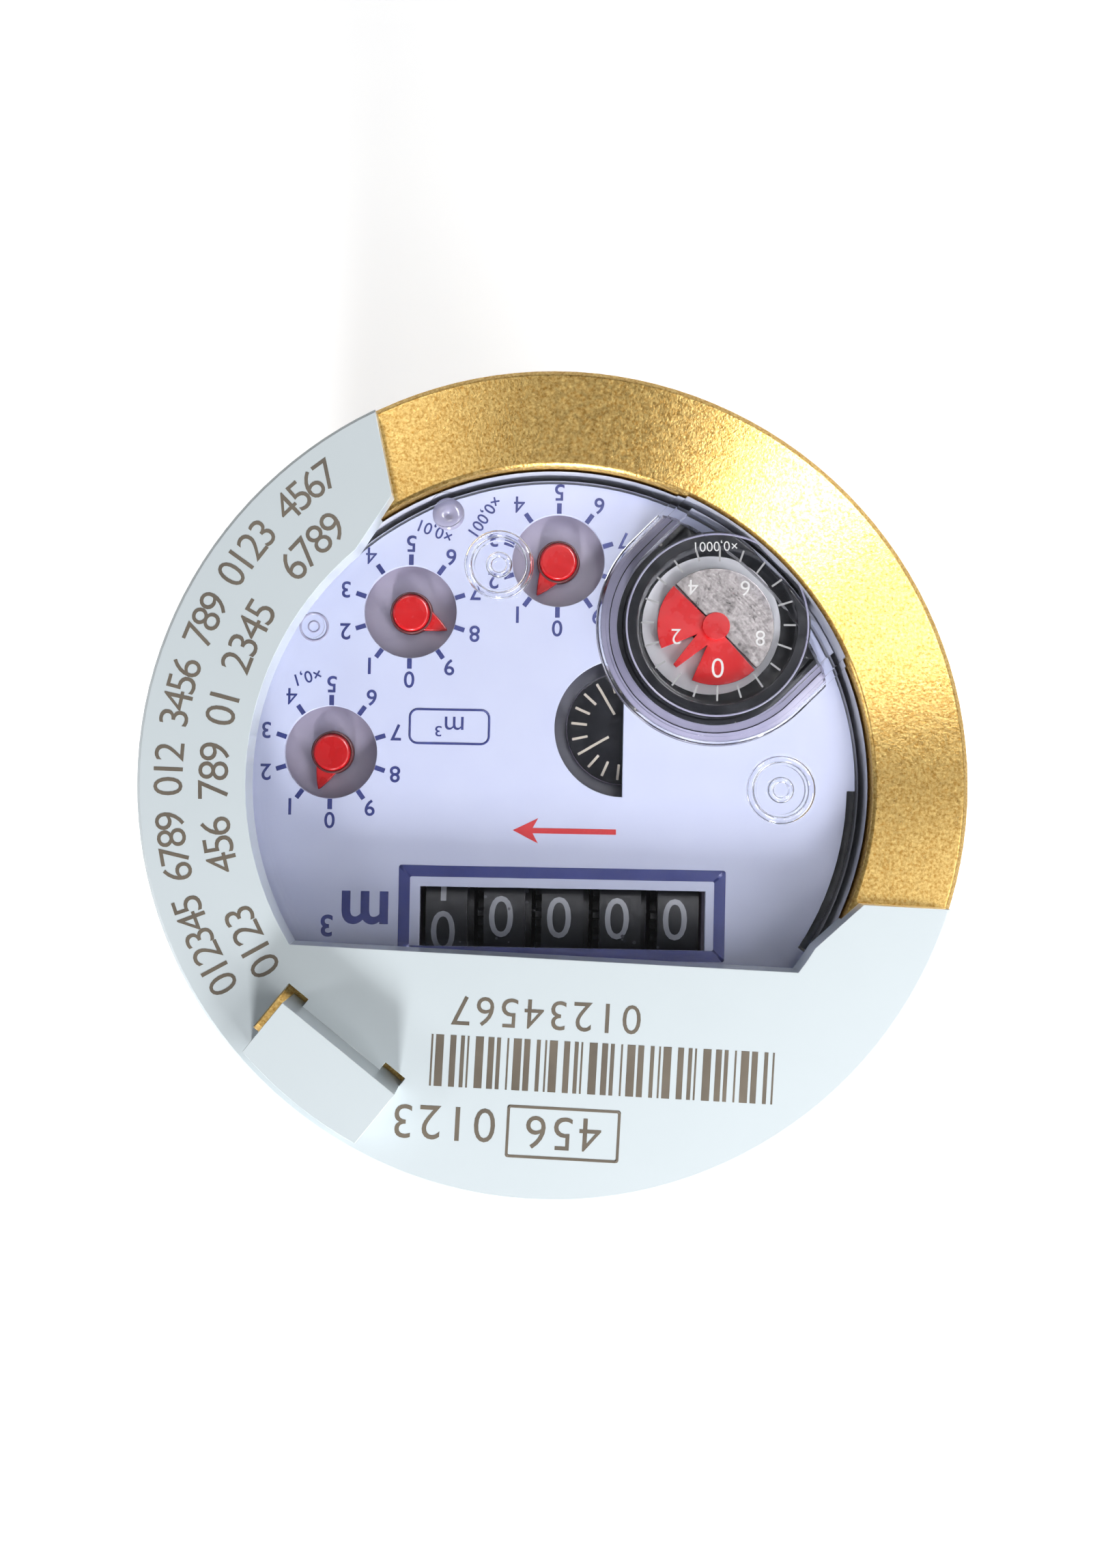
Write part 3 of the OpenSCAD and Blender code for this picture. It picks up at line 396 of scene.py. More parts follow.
def lettering(text, height, thickness, weight=0.0, narrow=1.0):
    key = (text, height, thickness, weight, narrow)
    if key in letter_store:
        return letter_store[key]
    curve = bpy.data.curves.new("lettering", "FONT")
    curve.body = text
    curve.resolution_u = 4
    curve.offset = weight
    curve.extrude = 0.5
    obj = bpy.data.objects.new("lettering", curve)
    scene.collection.objects.link(obj)
    bpy.context.view_layer.update()
    mesh = baked(obj)
    low = Vector([min(v.co[i] for v in mesh.vertices) for i in range(3)])
    high = Vector([max(v.co[i] for v in mesh.vertices) for i in range(3)])
    middle = (low + high) / 2
    grow = height / (high.y - low.y)
    mesh.transform(Matrix.Diagonal((grow * narrow, grow, thickness, 1)) @
                   Matrix.Translation((-middle.x, -middle.y, -low.z)))
    bm = bmesh.new()
    bm.from_mesh(mesh)
    bmesh.ops.remove_doubles(bm, verts=bm.verts, dist=1e-7)
    bmesh.ops.recalc_face_normals(bm, faces=bm.faces)
    bm.to_mesh(mesh)
    bm.free()
    letter_store[key] = mesh
    return mesh


def at(x, y, z, turn=0.0):
    return Matrix.Translation((x, y, z)) @ Matrix.Rotation(math.radians(turn), 4, "Z")


def slab(bm, outline, z, thickness):
    low = [bm.verts.new((x, y, z)) for x, y in outline]
    high = [bm.verts.new((x, y, z + thickness)) for x, y in outline]
    bm.faces.new(list(reversed(low)))
    bm.faces.new(high)
    count = len(outline)
    for i in range(count):
        k = (i + 1) % count
        bm.faces.new((low[i], low[k], high[k], high[i]))


def frame_slab(bm, outer, inner, z, thickness):
    rings = [[bm.verts.new((x, y, h)) for x, y in line]
             for line, h in ((outer, z), (outer, z + thickness), (inner, z + thickness), (inner, z))]
    count = len(outer)
    for a, b in zip(rings, rings[1:] + rings[:1]):
        for i in range(count):
            k = (i + 1) % count
            bm.faces.new((a[i], a[k], b[k], b[i]))


def round_box(x0, y0, x1, y1, radius, steps=6):
    points = []
    for cx, cy, start in ((x1 - radius, y0 + radius, -90), (x1 - radius, y1 - radius, 0),
                          (x0 + radius, y1 - radius, 90), (x0 + radius, y0 + radius, 180)):
        for i in range(steps + 1):
            a = math.radians(start + 90 * i / steps)
            points.append((cx + radius * math.cos(a), cy + radius * math.sin(a)))
    return points


def lathe(bm, profile, centre, steps=64):
    rings = []
    for i in range(steps):
        a = 2 * math.pi * i / steps
        rings.append([bm.verts.new((centre.x + r * math.cos(a), centre.y + r * math.sin(a), z))
                      for r, z in profile])
    count = len(profile)
    for i in range(steps):
        a, b = rings[i], rings[(i + 1) % steps]
        for k in range(count):
            n = (k + 1) % count
            bm.faces.new((a[k], b[k], b[n], a[n]))


def flat_ring(bm, inner_mm, outer_mm, low, high, centre, steps):
    lathe(bm, [(inner_mm * MM, low), (outer_mm * MM, low), (outer_mm * MM, high), (inner_mm * MM, high)],
          centre, steps)


# Geometry Nodes trees

def new_tree(name, inputs):
    tree = bpy.data.node_groups.new(name, "GeometryNodeTree")
    ids = {}
    for label, kind, value in inputs:
        socket = tree.interface.new_socket(label, in_out="INPUT", socket_type="NodeSocket" + kind)
        if value is not None:
            socket.default_value = value
        ids[label] = socket.identifier
    tree.interface.new_socket("Geometry", in_out="OUTPUT", socket_type="NodeSocketGeometry")
    return tree, ids, tree.nodes.new("NodeGroupInput").outputs, tree.nodes.new("NodeGroupOutput").inputs


tick_tree, tick_ids, given, result = new_tree(
    "tick_ring",
    [("Count", "Int", 10), ("Inner radius", "Float", 1.0), ("Outer radius", "Float", 2.0),
     ("Long every", "Int", 1), ("Short inner radius", "Float", 1.0), ("Width", "Float", 0.1),
     ("Height", "Float", 0.1), ("Start", "Float", 0.0), ("Centre", "Vector", None),
     ("Material", "Material", None)])
index = tick_tree.nodes.new("GeometryNodeInputIndex").outputs[0]
turn = maths(tick_tree, "ADD", given["Start"],
             maths(tick_tree, "DIVIDE", maths(tick_tree, "MULTIPLY", index, 2 * math.pi), given["Count"]))
short = maths(tick_tree, "GREATER_THAN", maths(tick_tree, "MODULO", index, given["Long every"]), 0.5)
inner = maths(tick_tree, "ADD", given["Inner radius"],
              maths(tick_tree, "MULTIPLY", short,
                    maths(tick_tree, "SUBTRACT", given["Short inner radius"], given["Inner radius"])))
middle_r = maths(tick_tree, "MULTIPLY", maths(tick_tree, "ADD", inner, given["Outer radius"]), 0.5)
length = maths(tick_tree, "SUBTRACT", given["Outer radius"], inner)
points = put(tick_tree, "GeometryNodePoints", None, Count=given["Count"])
feed(tick_tree, put(tick_tree, "ShaderNodeCombineXYZ", None,
                    X=maths(tick_tree, "MULTIPLY", middle_r, maths(tick_tree, "COSINE", turn)),
                    Y=maths(tick_tree, "MULTIPLY", middle_r, maths(tick_tree, "SINE", turn)),
                    Z=maths(tick_tree, "MULTIPLY", given["Height"], 0.5)).outputs[0],
     points.inputs["Position"])
bar = put(tick_tree, "GeometryNodeMeshCube")
bar.inputs["Size"].default_value = (1, 1, 1)
copies = put(tick_tree, "GeometryNodeInstanceOnPoints", None, Points=points.outputs[0],
             Instance=bar.outputs[0],
             Rotation=put(tick_tree, "ShaderNodeCombineXYZ", None, X=0.0, Y=0.0, Z=turn).outputs[0],
             Scale=put(tick_tree, "ShaderNodeCombineXYZ", None, X=length, Y=given["Width"],
                       Z=given["Height"]).outputs[0])
moved = put(tick_tree, "GeometryNodeTransform", None, Geometry=copies.outputs[0],
            Translation=given["Centre"])
real = put(tick_tree, "GeometryNodeRealizeInstances", None, Geometry=moved.outputs[0])
coated = put(tick_tree, "GeometryNodeSetMaterial", None, Geometry=real.outputs[0],
             Material=given["Material"])
feed(tick_tree, coated.outputs[0], result["Geometry"])

thread_tree, thread_ids, given, result = new_tree(
    "thread_ridge",
    [("Radius", "Float", 0.0375), ("Turns", "Float", 9.0), ("Rise", "Float", 0.0135),
     ("Start height", "Float", 0.0), ("Root width", "Float", 0.0013), ("Crest width", "Float", 0.0002),
     ("Depth", "Float", 0.0009), ("Points per turn", "Int", 96), ("Material", "Material", None)])
spiral = put(thread_tree, "GeometryNodeCurveSpiral", None, Resolution=given["Points per turn"],
             Rotations=given["Turns"], Start_Radius=given["Radius"], End_Radius=given["Radius"],
             Height=given["Rise"])
upright = put(thread_tree, "GeometryNodeSetCurveNormal", {"mode": "Z_UP"}, Curve=spiral.outputs[0])
ridge = put(thread_tree, "GeometryNodeCurvePrimitiveQuadrilateral", {"mode": "TRAPEZOID"},
            Bottom_Width=given["Root width"], Top_Width=given["Crest width"], Height=given["Depth"],
            Offset=0.0)
outward = put(thread_tree, "GeometryNodeTransform", None, Geometry=ridge.outputs[0])
outward.inputs["Rotation"].default_value = (0, 0, -math.pi / 2)
swept = put(thread_tree, "GeometryNodeCurveToMesh", None, Curve=upright.outputs[0],
            Profile_Curve=outward.outputs[0], Fill_Caps=True)
raised = put(thread_tree, "GeometryNodeTransform", None, Geometry=swept.outputs[0],
             Translation=put(thread_tree, "ShaderNodeCombineXYZ", None, X=0.0, Y=0.0,
                             Z=given["Start height"]).outputs[0])
real = put(thread_tree, "GeometryNodeRealizeInstances", None, Geometry=raised.outputs[0])
coated = put(thread_tree, "GeometryNodeSetMaterial", None, Geometry=real.outputs[0],
             Material=given["Material"])
feed(thread_tree, coated.outputs[0], result["Geometry"])


def grown(tree, ids, **values):
    obj = bpy.data.objects.new("grown", bpy.data.meshes.new("grown"))
    scene.collection.objects.link(obj)
    modifier = obj.modifiers.new("tree", "NODES")
    modifier.node_group = tree
    for key, value in values.items():
        modifier[ids[key.replace("_", " ")]] = value
    mesh = baked(obj)
    bm = bmesh.new()
    bm.from_mesh(mesh)
    bmesh.ops.remove_doubles(bm, verts=bm.verts, dist=1e-8)
    bmesh.ops.recalc_face_normals(bm, faces=bm.faces)
    return bm


# Heights and radii: given values and ones read from the imported solids

plate_thick = 2.6 * MM
window_rise = 2.4 * MM
plate_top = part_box("head_ring")[1].z + plate_thick
dial_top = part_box("dial_plate")[1].z
window_top = dial_top + window_rise
tower_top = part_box("clear_cup")[1].z
thread_r = 38.5 * MM
thread_depth = 0.92 * MM
thread_foot = 40.0 * MM
thread_head = 55.2 * MM
thread_pitch = 1.5 * MM
ink = 0.02 * MM

# Head ring: rounded edges, thread cut to its root, ridge added as one helix

ring = merged_copy("head_ring")
for vert in ring.verts:
    reach = math.hypot(vert.co.x, vert.co.y)
    if abs(reach - thread_r) < 0.02 * MM:
        vert.co.x *= (thread_r - thread_depth) / reach
        vert.co.y *= (thread_r - thread_depth) / reach
add_piece("head_ring_finished", rounded(ring, 0.22 * MM, 3), brass, "meter_body",
          ("head_ring",))
turns = (thread_head - thread_foot - thread_pitch) / thread_pitch
add_piece("thread_ridge",
          grown(thread_tree, thread_ids, Radius=thread_r - thread_depth / 2 - 0.03 * MM, Turns=turns,
                Rise=turns * thread_pitch, Start_height=thread_foot + thread_pitch / 2,
                Root_width=thread_pitch * 0.9, Crest_width=thread_pitch * 0.16, Depth=thread_depth,
                Material=brass),
          brass, "meter_body")

# Cover plate, window and dial

round_node("cover_plate", 0.28 * MM, white_plate, "register", 3)
dial_gap = 0.04 * MM
cup = merged_copy("clear_cup")
for vert in cup.verts:
    if abs(vert.co.z - dial_top) < 0.02 * MM:
        vert.co.z += dial_gap
cup = rounded(cup, 0.32 * MM, 4)
window = add_piece("clear_cup_finished", cup, window_clear, "register", ("clear_cup",))
window.data.materials.append(wall_frost)
clear_rim = 0.5 * MM
cup_r = max(v.co.x for v in window.data.vertices)
for face in window.data.polygons:
    middle = face.center
    if math.hypot(middle.x, middle.y) > cup_r - 0.05 * MM and middle.z < window_top - clear_rim:
        face.material_index = 1
round_node("dial_plate", 0.08 * MM, dial_white, "register", 2)
round_node("litre_collar", 0.2 * MM, black_gloss, "register", 2)

# Pointers and the litre disc

def pointer_outline(centre, hub, tip, aim, steps=120):
    line = []
    for i in range(steps):
        off = 2 * math.pi * i / steps
        near = max(0.0, 1 - abs(math.remainder(off, 2 * math.pi)) / math.radians(48))
        reach = hub + (tip - hub) * near ** 2.4
        line.append((centre.x + reach * math.cos(aim + off), centre.y + reach * math.sin(aim + off)))
    return line


def ring_outline(centre, radius, steps=64):
    return [(centre.x + radius * math.cos(2 * math.pi * i / steps),
             centre.y + radius * math.sin(2 * math.pi * i / steps)) for i in range(steps)]


pointer_hub = 2.1 * MM
pointer_tip = 4.45 * MM
blade_thick = 0.9 * MM
hub_rise = 0.1 * MM
skirt_in = pointer_hub - 0.02 * MM
skirt_foot = 0.12 * MM
for name, aim in (("third", 58), ("second", 156), ("first", 70)):
    centre = pivot[name]
    low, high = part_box(name + "_pointer")
    blade = bmesh.new()
    slab(blade, pointer_outline(centre, pointer_hub, pointer_tip, math.radians(aim)), low.z, blade_thick)
    blade = rounded(blade, 0.16 * MM, 3)
    dome = bmesh.new()
    slab(dome, ring_outline(centre, pointer_hub - 0.05 * MM), low.z + hub_rise, high.z - low.z - hub_rise)
    dome = rounded(dome, 0.35 * MM, 4)
    hub_mesh = bpy.data.meshes.new("hub")
    dome.to_mesh(hub_mesh)
    dome.free()
    blade.from_mesh(hub_mesh)
    add_piece(name + "_pointer_finished", blade, red, name, (name + "_pointer",))
    # Skirt round each hub in the darker red: painted shade round the hub
    skirt = bmesh.new()
    lathe(skirt, [(skirt_in, low.z + skirt_foot), (pointer_hub + 0.3 * MM, low.z + skirt_foot),
                  (pointer_hub + 0.22 * MM, low.z + 0.98 * MM), (skirt_in, low.z + 1.02 * MM)], centre)
    add_piece(name + "_skirt", skirt, painted_shade_red, name)
round_node("litre_disc", 0.2 * MM, red, "litre", 3)
round_node("litre_target", 0.12 * MM, silver, "litre", 2)
round_node("star_disc", 0.12 * MM, black_gloss, "star", 2)

# Finish of the carried-over solids

for names, finish in (
        ("flange_seal body_seal port_o_ring", rubber),
        ("pressure_plate snap_ring pivot_pin roller_shaft carry_shaft register_screws", steel),
        ("insert_housing strainer", grey_insert),
        ("impeller_cup impeller register_base follower_arbor star_arbor litre_arbor", natural),
        ("third_arbor second_arbor first_arbor bevel_arbor", natural),
        ("idler_1 idler_2 idler_3 idler_4 idler_5", natural),
        ("carry_pinion_1 carry_pinion_2 carry_pinion_3 carry_pinion_4", natural),
        ("gear_plate", well_grey),
        ("drive_magnet follower_magnet", ferrite),
        ("pivot_jewel", red),
        ("roller_1 roller_2 roller_3 roller_4 roller_5", roller_black)):
    for name in names.split():
        nodes[name].data.materials.clear()
        nodes[name].data.materials.append(finish)

# Printed scales of the three pointer dials

well_r = 5.1 * MM
figure_ring = 7.5 * MM
figure_height = 1.82 * MM
factor_height = 1.55 * MM
blue_print = bmesh.new()
for name in ("third", "second", "first"):
    centre = pivot[name]
    add_piece(name + "_scale",
              grown(tick_tree, tick_ids, Count=10, Inner_radius=well_r + 0.05 * MM,
                    Outer_radius=well_r + 1.2 * MM, Long_every=1, Short_inner_radius=well_r,
                    Width=0.52 * MM, Height=ink, Start=math.radians(90),
                    Centre=Vector((centre.x, centre.y, dial_top)), Material=blue_ink),
              blue_ink, "register")
    for digit in range(10):
        a = math.radians(90 - 36 * digit)
        stamp(blue_print, lettering(str(digit), figure_height, ink, 0.0 if digit == 4 else 0.012),
              at(centre.x + figure_ring * math.cos(a), centre.y + figure_ring * math.sin(a), dial_top))

for text, x, y, turn in (("\u00d70,1", 27.3, -11.6, 17.0), ("\u00d70,01", 13.5, -27.9, -19.6),
                         ("\u00d70,001", 8.2, -29.65, 56.8)):
    stamp(blue_print, lettering(text, factor_height, ink, 0.008), at(x * MM, y * MM, dial_top, turn))

# Counter frame, unit and the outlined field

def box_mm(x0, y0, x1, y1, radius):
    return round_box(x0 * MM, y0 * MM, x1 * MM, y1 * MM, radius * MM)


frame_slab(blue_print, box_mm(-19.2, 9.03, 16.87, 19.15, 0.3), box_mm(-17.95, 10.28, 15.62, 17.9, 0.2),
           dial_top, ink)
stamp(blue_print, lettering("m", 3.7 * MM, ink, 0.02), at(20.55 * MM, 13.85 * MM, dial_top))
stamp(blue_print, lettering("3", 2.45 * MM, ink, 0.02), at(24.75 * MM, 15.9 * MM, dial_top))
frame_slab(blue_print, box_mm(7.1, -8.3, 16.1, -4.3, 1.0), box_mm(7.35, -8.05, 15.85, -4.55, 0.75),
           dial_top, ink)
stamp(blue_print, lettering("m\u00b3", 2.2 * MM, ink, 0.0), at(11.6 * MM, -6.3 * MM, dial_top))
add_piece("dial_print", blue_print, blue_ink, "register")

arrow = bmesh.new()
slab(arrow, [(x * MM, y * MM) for x, y in ((-7.0, 4.7), (2.2, 4.7), (1.6, 3.6), (4.4, 5.0), (1.6, 6.4),
                                           (2.2, 5.3), (-7.0, 5.3))], dial_top, ink)
add_piece("flow_arrow", arrow, red_ink, "register")

# Figures on the rollers

roller_low, roller_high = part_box("roller_2")
roller_r = (roller_high.z - roller_low.z) / 2
drum_offset = 0.35 * MM
part_turn = 0.31
strip = 0.25 * MM
sunk = 0.008 * MM
for place in range(1, 6):
    name = "roller_%d" % place
    drum_mid = pivot[name].x + drum_offset
    axis_y, axis_z = pivot[name].y, pivot[name].z
    shift = math.radians(part_turn * 36) if place == 1 else 0.0
    figures = bmesh.new()
    for digit in range(10):
        cut = bmesh.new()
        cut.from_mesh(lettering(str(digit), 4.65 * MM, 0.03 * MM, 0.0, 0.92))
        for step in range(-9, 10):
            bmesh.ops.bisect_plane(cut, geom=cut.verts[:] + cut.edges[:] + cut.faces[:],
                                   plane_co=(0, step * strip, 0), plane_no=(0, 1, 0))
        for vert in cut.verts:
            a = shift - math.radians(36 * digit) + vert.co.y / roller_r
            reach = roller_r - sunk + vert.co.z
            vert.co = Vector((drum_mid + vert.co.x, axis_y + reach * math.sin(a),
                              axis_z + reach * math.cos(a)))
        loose = bpy.data.meshes.new("figure")
        cut.to_mesh(loose)
        cut.free()
        figures.from_mesh(loose)
        bpy.data.meshes.remove(loose)
    add_piece(name + "_figures", figures, pale_ink, name)

# Outline of the litre tower: round inwards, straight sides out to the rim

litre = pivot["litre"]
litre_axis = math.atan2(litre.y, litre.x)
litre_out = math.hypot(litre.x, litre.y)


def tower_outline(half, rim=None, steps=240):
    line = []
    for i in range(steps):
        off = 2 * math.pi * i / steps
        reach = half
        if rim and math.cos(off) > 0:
            inward = litre_out * math.cos(off)
            to_rim = math.sqrt(inward * inward - litre_out * litre_out + rim * rim) - inward
            reach = min(half / max(abs(math.sin(off)), 1e-6), to_rim)
        line.append((litre.x + reach * math.cos(litre_axis + off),
                     litre.y + reach * math.sin(litre_axis + off)))
    return line


# Star strokes, a dark ring of painted shade in the star's well, and the litre scale

star_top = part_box("star_disc")[1].z
add_piece("star_strokes",
          grown(tick_tree, tick_ids, Count=20, Inner_radius=1.8 * MM, Outer_radius=5.75 * MM, Long_every=5,
                Short_inner_radius=4.0 * MM, Width=0.28 * MM, Height=ink, Start=math.radians(31),
                Centre=Vector((pivot["star"].x, pivot["star"].y, star_top)), Material=star_ink),
          star_ink, "star")
# Dark ring on the gear plate round the star disc: painted shade in the well
star_well = bmesh.new()
well_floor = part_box("gear_plate")[1].z
flat_ring(star_well, 6.3, 8.0, well_floor - 0.02 * MM, well_floor + 0.06 * MM, pivot["star"], 96)
add_piece("star_well_painted_shade", star_well, painted_shade_slate, "register")
add_piece("litre_scale",
          grown(tick_tree, tick_ids, Count=20, Inner_radius=6.7 * MM, Outer_radius=8.3 * MM, Long_every=2,
                Short_inner_radius=7.0 * MM, Width=0.2 * MM, Height=ink, Start=math.radians(90),
                Centre=Vector((litre.x, litre.y, tower_top)), Material=frosted_mark),
          frosted_mark, "register")
tower_print = bmesh.new()
litre_ring = 4.75 * MM
for digit in range(0, 10, 2):
    a = math.radians(90 - 36 * digit)
    stamp(tower_print, lettering(str(digit), (2.1 if digit == 0 else 1.65) * MM, ink, -0.006),
          at(litre.x + litre_ring * math.cos(a), litre.y + litre_ring * math.sin(a), tower_top))
stamp(tower_print, lettering("\u00d70,0001", 1.2 * MM, ink, -0.006),
      at(-17.0 * MM, -26.1 * MM, tower_top, 3.0))
add_piece("tower_print", tower_print, frosted_figure, "register")

# Apron and skirt round the litre disc, its pale floor, the star's cap and a black slab of painted shade in
# the rim notch

def tower_band(name, material, profile, rim, sharp):
    band = bmesh.new()
    rings = [[band.verts.new((x, y, z)) for x, y in tower_outline(half * MM, rim * MM)]
             for half, z in profile]
    for a, b in zip(rings, rings[1:] + rings[:1]):
        for i in range(len(a)):
            k = (i + 1) % len(a)
            band.faces.new((a[i], a[k], b[k], b[i]))
    bmesh.ops.recalc_face_normals(band, faces=band.faces)
    return add_piece(name, band, material, "register", sharp=sharp)


apron = bmesh.new()
frame_slab(apron, tower_outline(10.3 * MM, 32.4 * MM), tower_outline(9.9 * MM), dial_top, 0.08 * MM)
add_piece("litre_apron", apron, black_gloss, "register")
skirt_top = dial_top + 0.42 * MM
tower_band("litre_skirt", seal_grey_and_painted_light,
           ((10.75, dial_top), (12.7, dial_top), (12.7, dial_top + 0.04 * MM), (11.7, skirt_top),
            (10.75, skirt_top)), 32.2, 20)
# Black line and black inner band on the grey seal skirt: painted reflection bands of the clear tower wall
line_low, line_high = skirt_top - 0.01 * MM, skirt_top + 0.03 * MM
tower_band("skirt_painted_dark_line", black_gloss,
           ((11.58, line_low), (11.68, line_low), (11.68, line_high), (11.58, line_high)), 32.1, 20)
tower_band("skirt_painted_dark_band", black_gloss,
           ((10.2, dial_top), (10.75, dial_top), (10.75, skirt_top + 0.02 * MM),
            (10.2, skirt_top + 0.1 * MM)), 32.2, 20)
collar_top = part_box("litre_collar")[1].z
# Pale ring on the collar's top edge: painted highlight of the tower's top edge
highlight_ring = bmesh.new()
lathe(highlight_ring, [(9.72 * MM, collar_top - 0.01 * MM), (9.95 * MM, collar_top - 0.01 * MM),
                  (9.93 * MM, collar_top + 0.03 * MM), (9.74 * MM, collar_top + 0.03 * MM)], litre, 128)
add_piece("collar_painted_highlight", highlight_ring, seal_grey_and_painted_light, "register")
floor_ring = bmesh.new()
collar_floor = dial_top + 0.8 * MM
floor_spot = litre + Vector((0.4 * MM, -0.2 * MM, 0))
flat_ring(floor_ring, 2.4, 7.6, collar_floor - 0.02 * MM, collar_floor + 0.1 * MM, floor_spot, 96)
add_piece("litre_floor", floor_ring, litre_floor, "register")
cap = bmesh.new()
slab(cap, ring_outline(pivot["star"], 1.3 * MM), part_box("star_arbor")[1].z - 0.02 * MM, 0.1 * MM)
add_piece("star_cap", rounded(cap, 0.03 * MM), black_gloss, "star")
# Black slab in the rim notch: painted shade where the notch looks dark
notch = bmesh.new()
notch_sides = ((32.42, range(148, 181, 2)), (33.22, range(180, 147, -2)))
notch_line = [(reach * math.cos(math.radians(a)) * MM, reach * math.sin(math.radians(a)) * MM)
              for reach, sweep in notch_sides for a in sweep]
slab(notch, notch_line, dial_top - 0.79 * MM, 0.7 * MM)
add_piece("rim_notch_painted_shade", notch, black_gloss, "register")

# Drafted foot of the litre tower

tower_band("tower_foot", window_clear,
           ((12.5, window_top - 0.02 * MM), (13.12, window_top - 0.02 * MM), (13.08, window_top + 0.3 * MM),
            (12.6, tower_top - 1.0 * MM), (12.5, tower_top - 1.0 * MM)), 31.6, 50)

# Beads round the moulded bosses of the window

def round_spot(radius, angle):
    a = math.radians(angle)
    return Vector((radius * math.cos(a), radius * math.sin(a), 0))


beads = bmesh.new()
boss_ring = 24.85 * MM
for angle in (-75.1, 180.0):
    for radius, half, rise in ((3.35, 0.45, 0.5), (1.1, 0.36, 0.42)):
        arch = [((radius + half * math.cos(math.pi * (1 - k / 8))) * MM,
                 window_top - 0.01 * MM + rise * math.sin(math.pi * k / 8) * MM) for k in range(9)]
        lathe(beads, arch, round_spot(boss_ring, angle), 72)
add_piece("window_beads", beads, window_clear, "register", sharp=80)

# Grey seat rings on the dial under the window's pin and lens, also carrying painted shade and painted
# refraction of the clear pin and lens

rim_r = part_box("dial_plate")[1].x
seats = bmesh.new()
for angle, inset, rings in ((-32.5, 1.6, ((1.36, 1.62), (0.5, 0.68))), (-67.8, 1.2, ((0.02, 1.75),))):
    for inner_r, outer_r in rings:
        flat_ring(seats, inner_r, outer_r, dial_top - 0.01 * MM, dial_top + 0.03 * MM,
                  round_spot(rim_r - inset * MM, angle), 48)
add_piece("window_seats_painted_shade", seats, seal_grey_and_painted_light, "register")

# Plain bars and ordered figures on the cover plate

plate_print = bmesh.new()
chord_turn = -2.1
plate_weight = -0.004


def plate_place(x, y):
    return at(x * MM, y * MM, plate_top, chord_turn)


def plate_row(text, x, y, height, pitch):
    for i, figure in enumerate(text):
        stamp(plate_print, lettering(figure, height * MM, ink, plate_weight),
              plate_place(x, y) @ Matrix.Translation(((i - (len(text) - 1) / 2) * pitch * MM, 0, 0)))


def plate_arc(text, radius, start, pitch, height):
    for i, figure in enumerate(text):
        a = start - math.degrees(pitch / radius) * i
        if figure != " ":
            stamp(plate_print, lettering(figure, height * MM, ink, plate_weight),
                  at(radius * math.cos(math.radians(a)) * MM, radius * math.sin(math.radians(a)) * MM,
                     plate_top, a - 90))


plate_row("01234567", 0.3, 24.4, 3.1, 2.6)
plate_row("0123", 11.0, 36.1, 3.6, 2.9)
plate_row("456", -1.7, 37.0, 3.5, 2.9)
plate_arc("012345 6789 012 3456 789 0123 4567", 41.0, 32.0, 1.84, 3.1)
plate_arc("0123  456 789 01 2345  6789", 36.2, 33.0, 1.98, 3.2)
bar_row = plate_place(-5.95, 30.05)
bar_half = 2.75
bar_x = 18.5
bar_end = -18.0
step = 0
while bar_x > bar_end:
    width = 0.2 + 0.22 * ((step * 7) % 4)
    corners = [bar_row @ Vector((x * MM, y * MM, 0)) for x, y in (
        (bar_x - width, -bar_half), (bar_x, -bar_half), (bar_x, bar_half), (bar_x - width, bar_half))]
    slab(plate_print, [(c.x, c.y) for c in corners], plate_top, ink)
    bar_x -= width + 0.28 + 0.2 * ((step * 5) % 3)
    step += 1
field = plate_place(-1.7, 37.0)
field_lines = []
for half_x, half_y, radius in ((6.05, 2.8, 0.3), (5.75, 2.5, 0.15)):
    corners = [field @ Vector((x, y, 0)) for x, y in box_mm(-half_x, -half_y, half_x, half_y, radius)]
    field_lines.append([(c.x, c.y) for c in corners])
frame_slab(plate_print, field_lines[0], field_lines[1], plate_top, ink)
add_piece("plate_print", plate_print, grey_ink, "register")

# Floor, light and surroundings

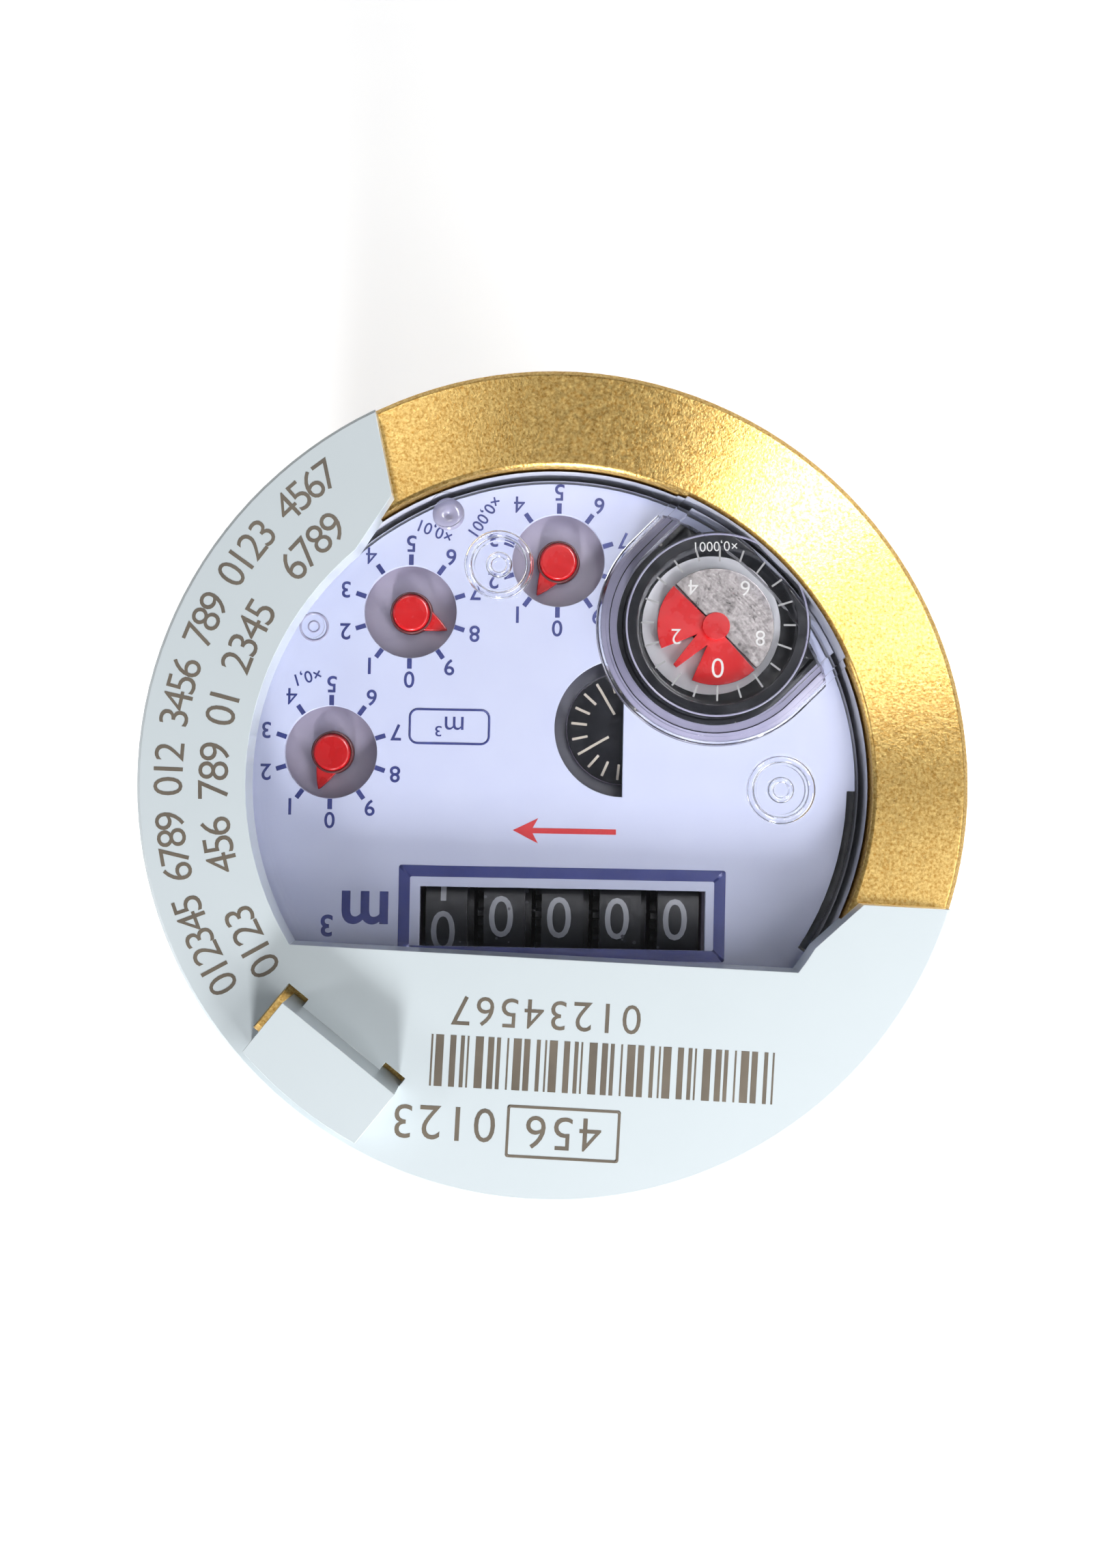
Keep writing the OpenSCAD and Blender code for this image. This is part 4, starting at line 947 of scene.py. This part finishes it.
floor_half = 5.0
floor_gap = 0.0002
floor_glow = 0.58
floor_bm = bmesh.new()
bmesh.ops.create_grid(floor_bm, x_segments=2, y_segments=2, size=floor_half)
floor_mesh = bpy.data.meshes.new("floor")
floor_bm.to_mesh(floor_mesh)
floor_bm.free()
floor_mesh.transform(Matrix.Translation((0, 0, cad_box[0].z - floor_gap)))
pale_floor = moulded("pale_floor", srgb(250, 250, 250), srgb(247, 247, 248), (0.6, 0.7), 300.0,
                     0.002 * MM, specular=0.2)
floor_mesh.materials.append(pale_floor)
floor_shader = next(n for n in pale_floor.node_tree.nodes if n.type == "BSDF_PRINCIPLED")
floor_shader.inputs["Emission Color"].default_value = (1.0, 1.0, 1.0, 1.0)
floor_shader.inputs["Emission Strength"].default_value = floor_glow
floor = bpy.data.objects.new("floor", floor_mesh)
scene.collection.objects.link(floor)

world = bpy.data.worlds.new("surroundings")
world.use_nodes = True
sky = world.node_tree
backdrop = next(n for n in sky.nodes if n.type == "BACKGROUND")
backdrop.inputs["Color"].default_value = (0.95, 0.97, 1.0, 1.0)
ring_glow, low_glow, cap_glow = 0.32, 0.10, 0.05
way = sky.nodes.new("ShaderNodeTexCoord").outputs["Generated"]
height = put(sky, "ShaderNodeSeparateXYZ", None, Vector=way).outputs[2]
feed(sky, maths(sky, "MINIMUM", spread(sky, height, 0.66, 0.80, low_glow, ring_glow),
                spread(sky, height, 0.955, 0.985, ring_glow, cap_glow)), backdrop.inputs["Strength"])
scene.world = world
scene.view_settings.view_transform = "Standard"


aim_point = Vector((0, 0, 0.065))
warm = (1.0, 0.98, 0.94)
near_white = (1.0, 0.99, 0.98)


def soft_light(name, place, size, power, colour=(1, 1, 1), glints_only=False, no_glints=False):
    data = bpy.data.lights.new(name, "AREA")
    data.shape = "RECTANGLE"
    data.size, data.size_y = size
    data.energy = power
    data.color = colour
    lamp = bpy.data.objects.new(name, data)
    scene.collection.objects.link(lamp)
    lamp.location = place
    lamp.visible_diffuse = not glints_only
    lamp.visible_glossy = not no_glints
    lamp.rotation_euler = (aim_point - Vector(place)).to_track_quat("-Z", "Y").to_euler()


soft_light("key_low", (0.04, 0.63, 0.36), (0.12, 0.12), 5.0)
soft_light("key_side", (0.575, 0.19, 0.415), (0.14, 0.14), 0.8)
soft_light("fill_right", (-0.19, 0.07, 0.27), (0.12, 0.12), 0.25)
soft_light("fill_low", (-0.17, 0.20, 0.21), (0.12, 0.12), 0.54, no_glints=True)
soft_light("band_high", (-0.27, -0.31, 0.72), (0.07, 0.16), 4.0, near_white, True)
soft_light("band_narrow", (-0.38, -0.16, 0.70), (0.03, 0.16), 1.3, near_white, True)
soft_light("band_wide", (0.17, -0.36, 0.70), (0.14, 0.20), 0.75, warm, True)
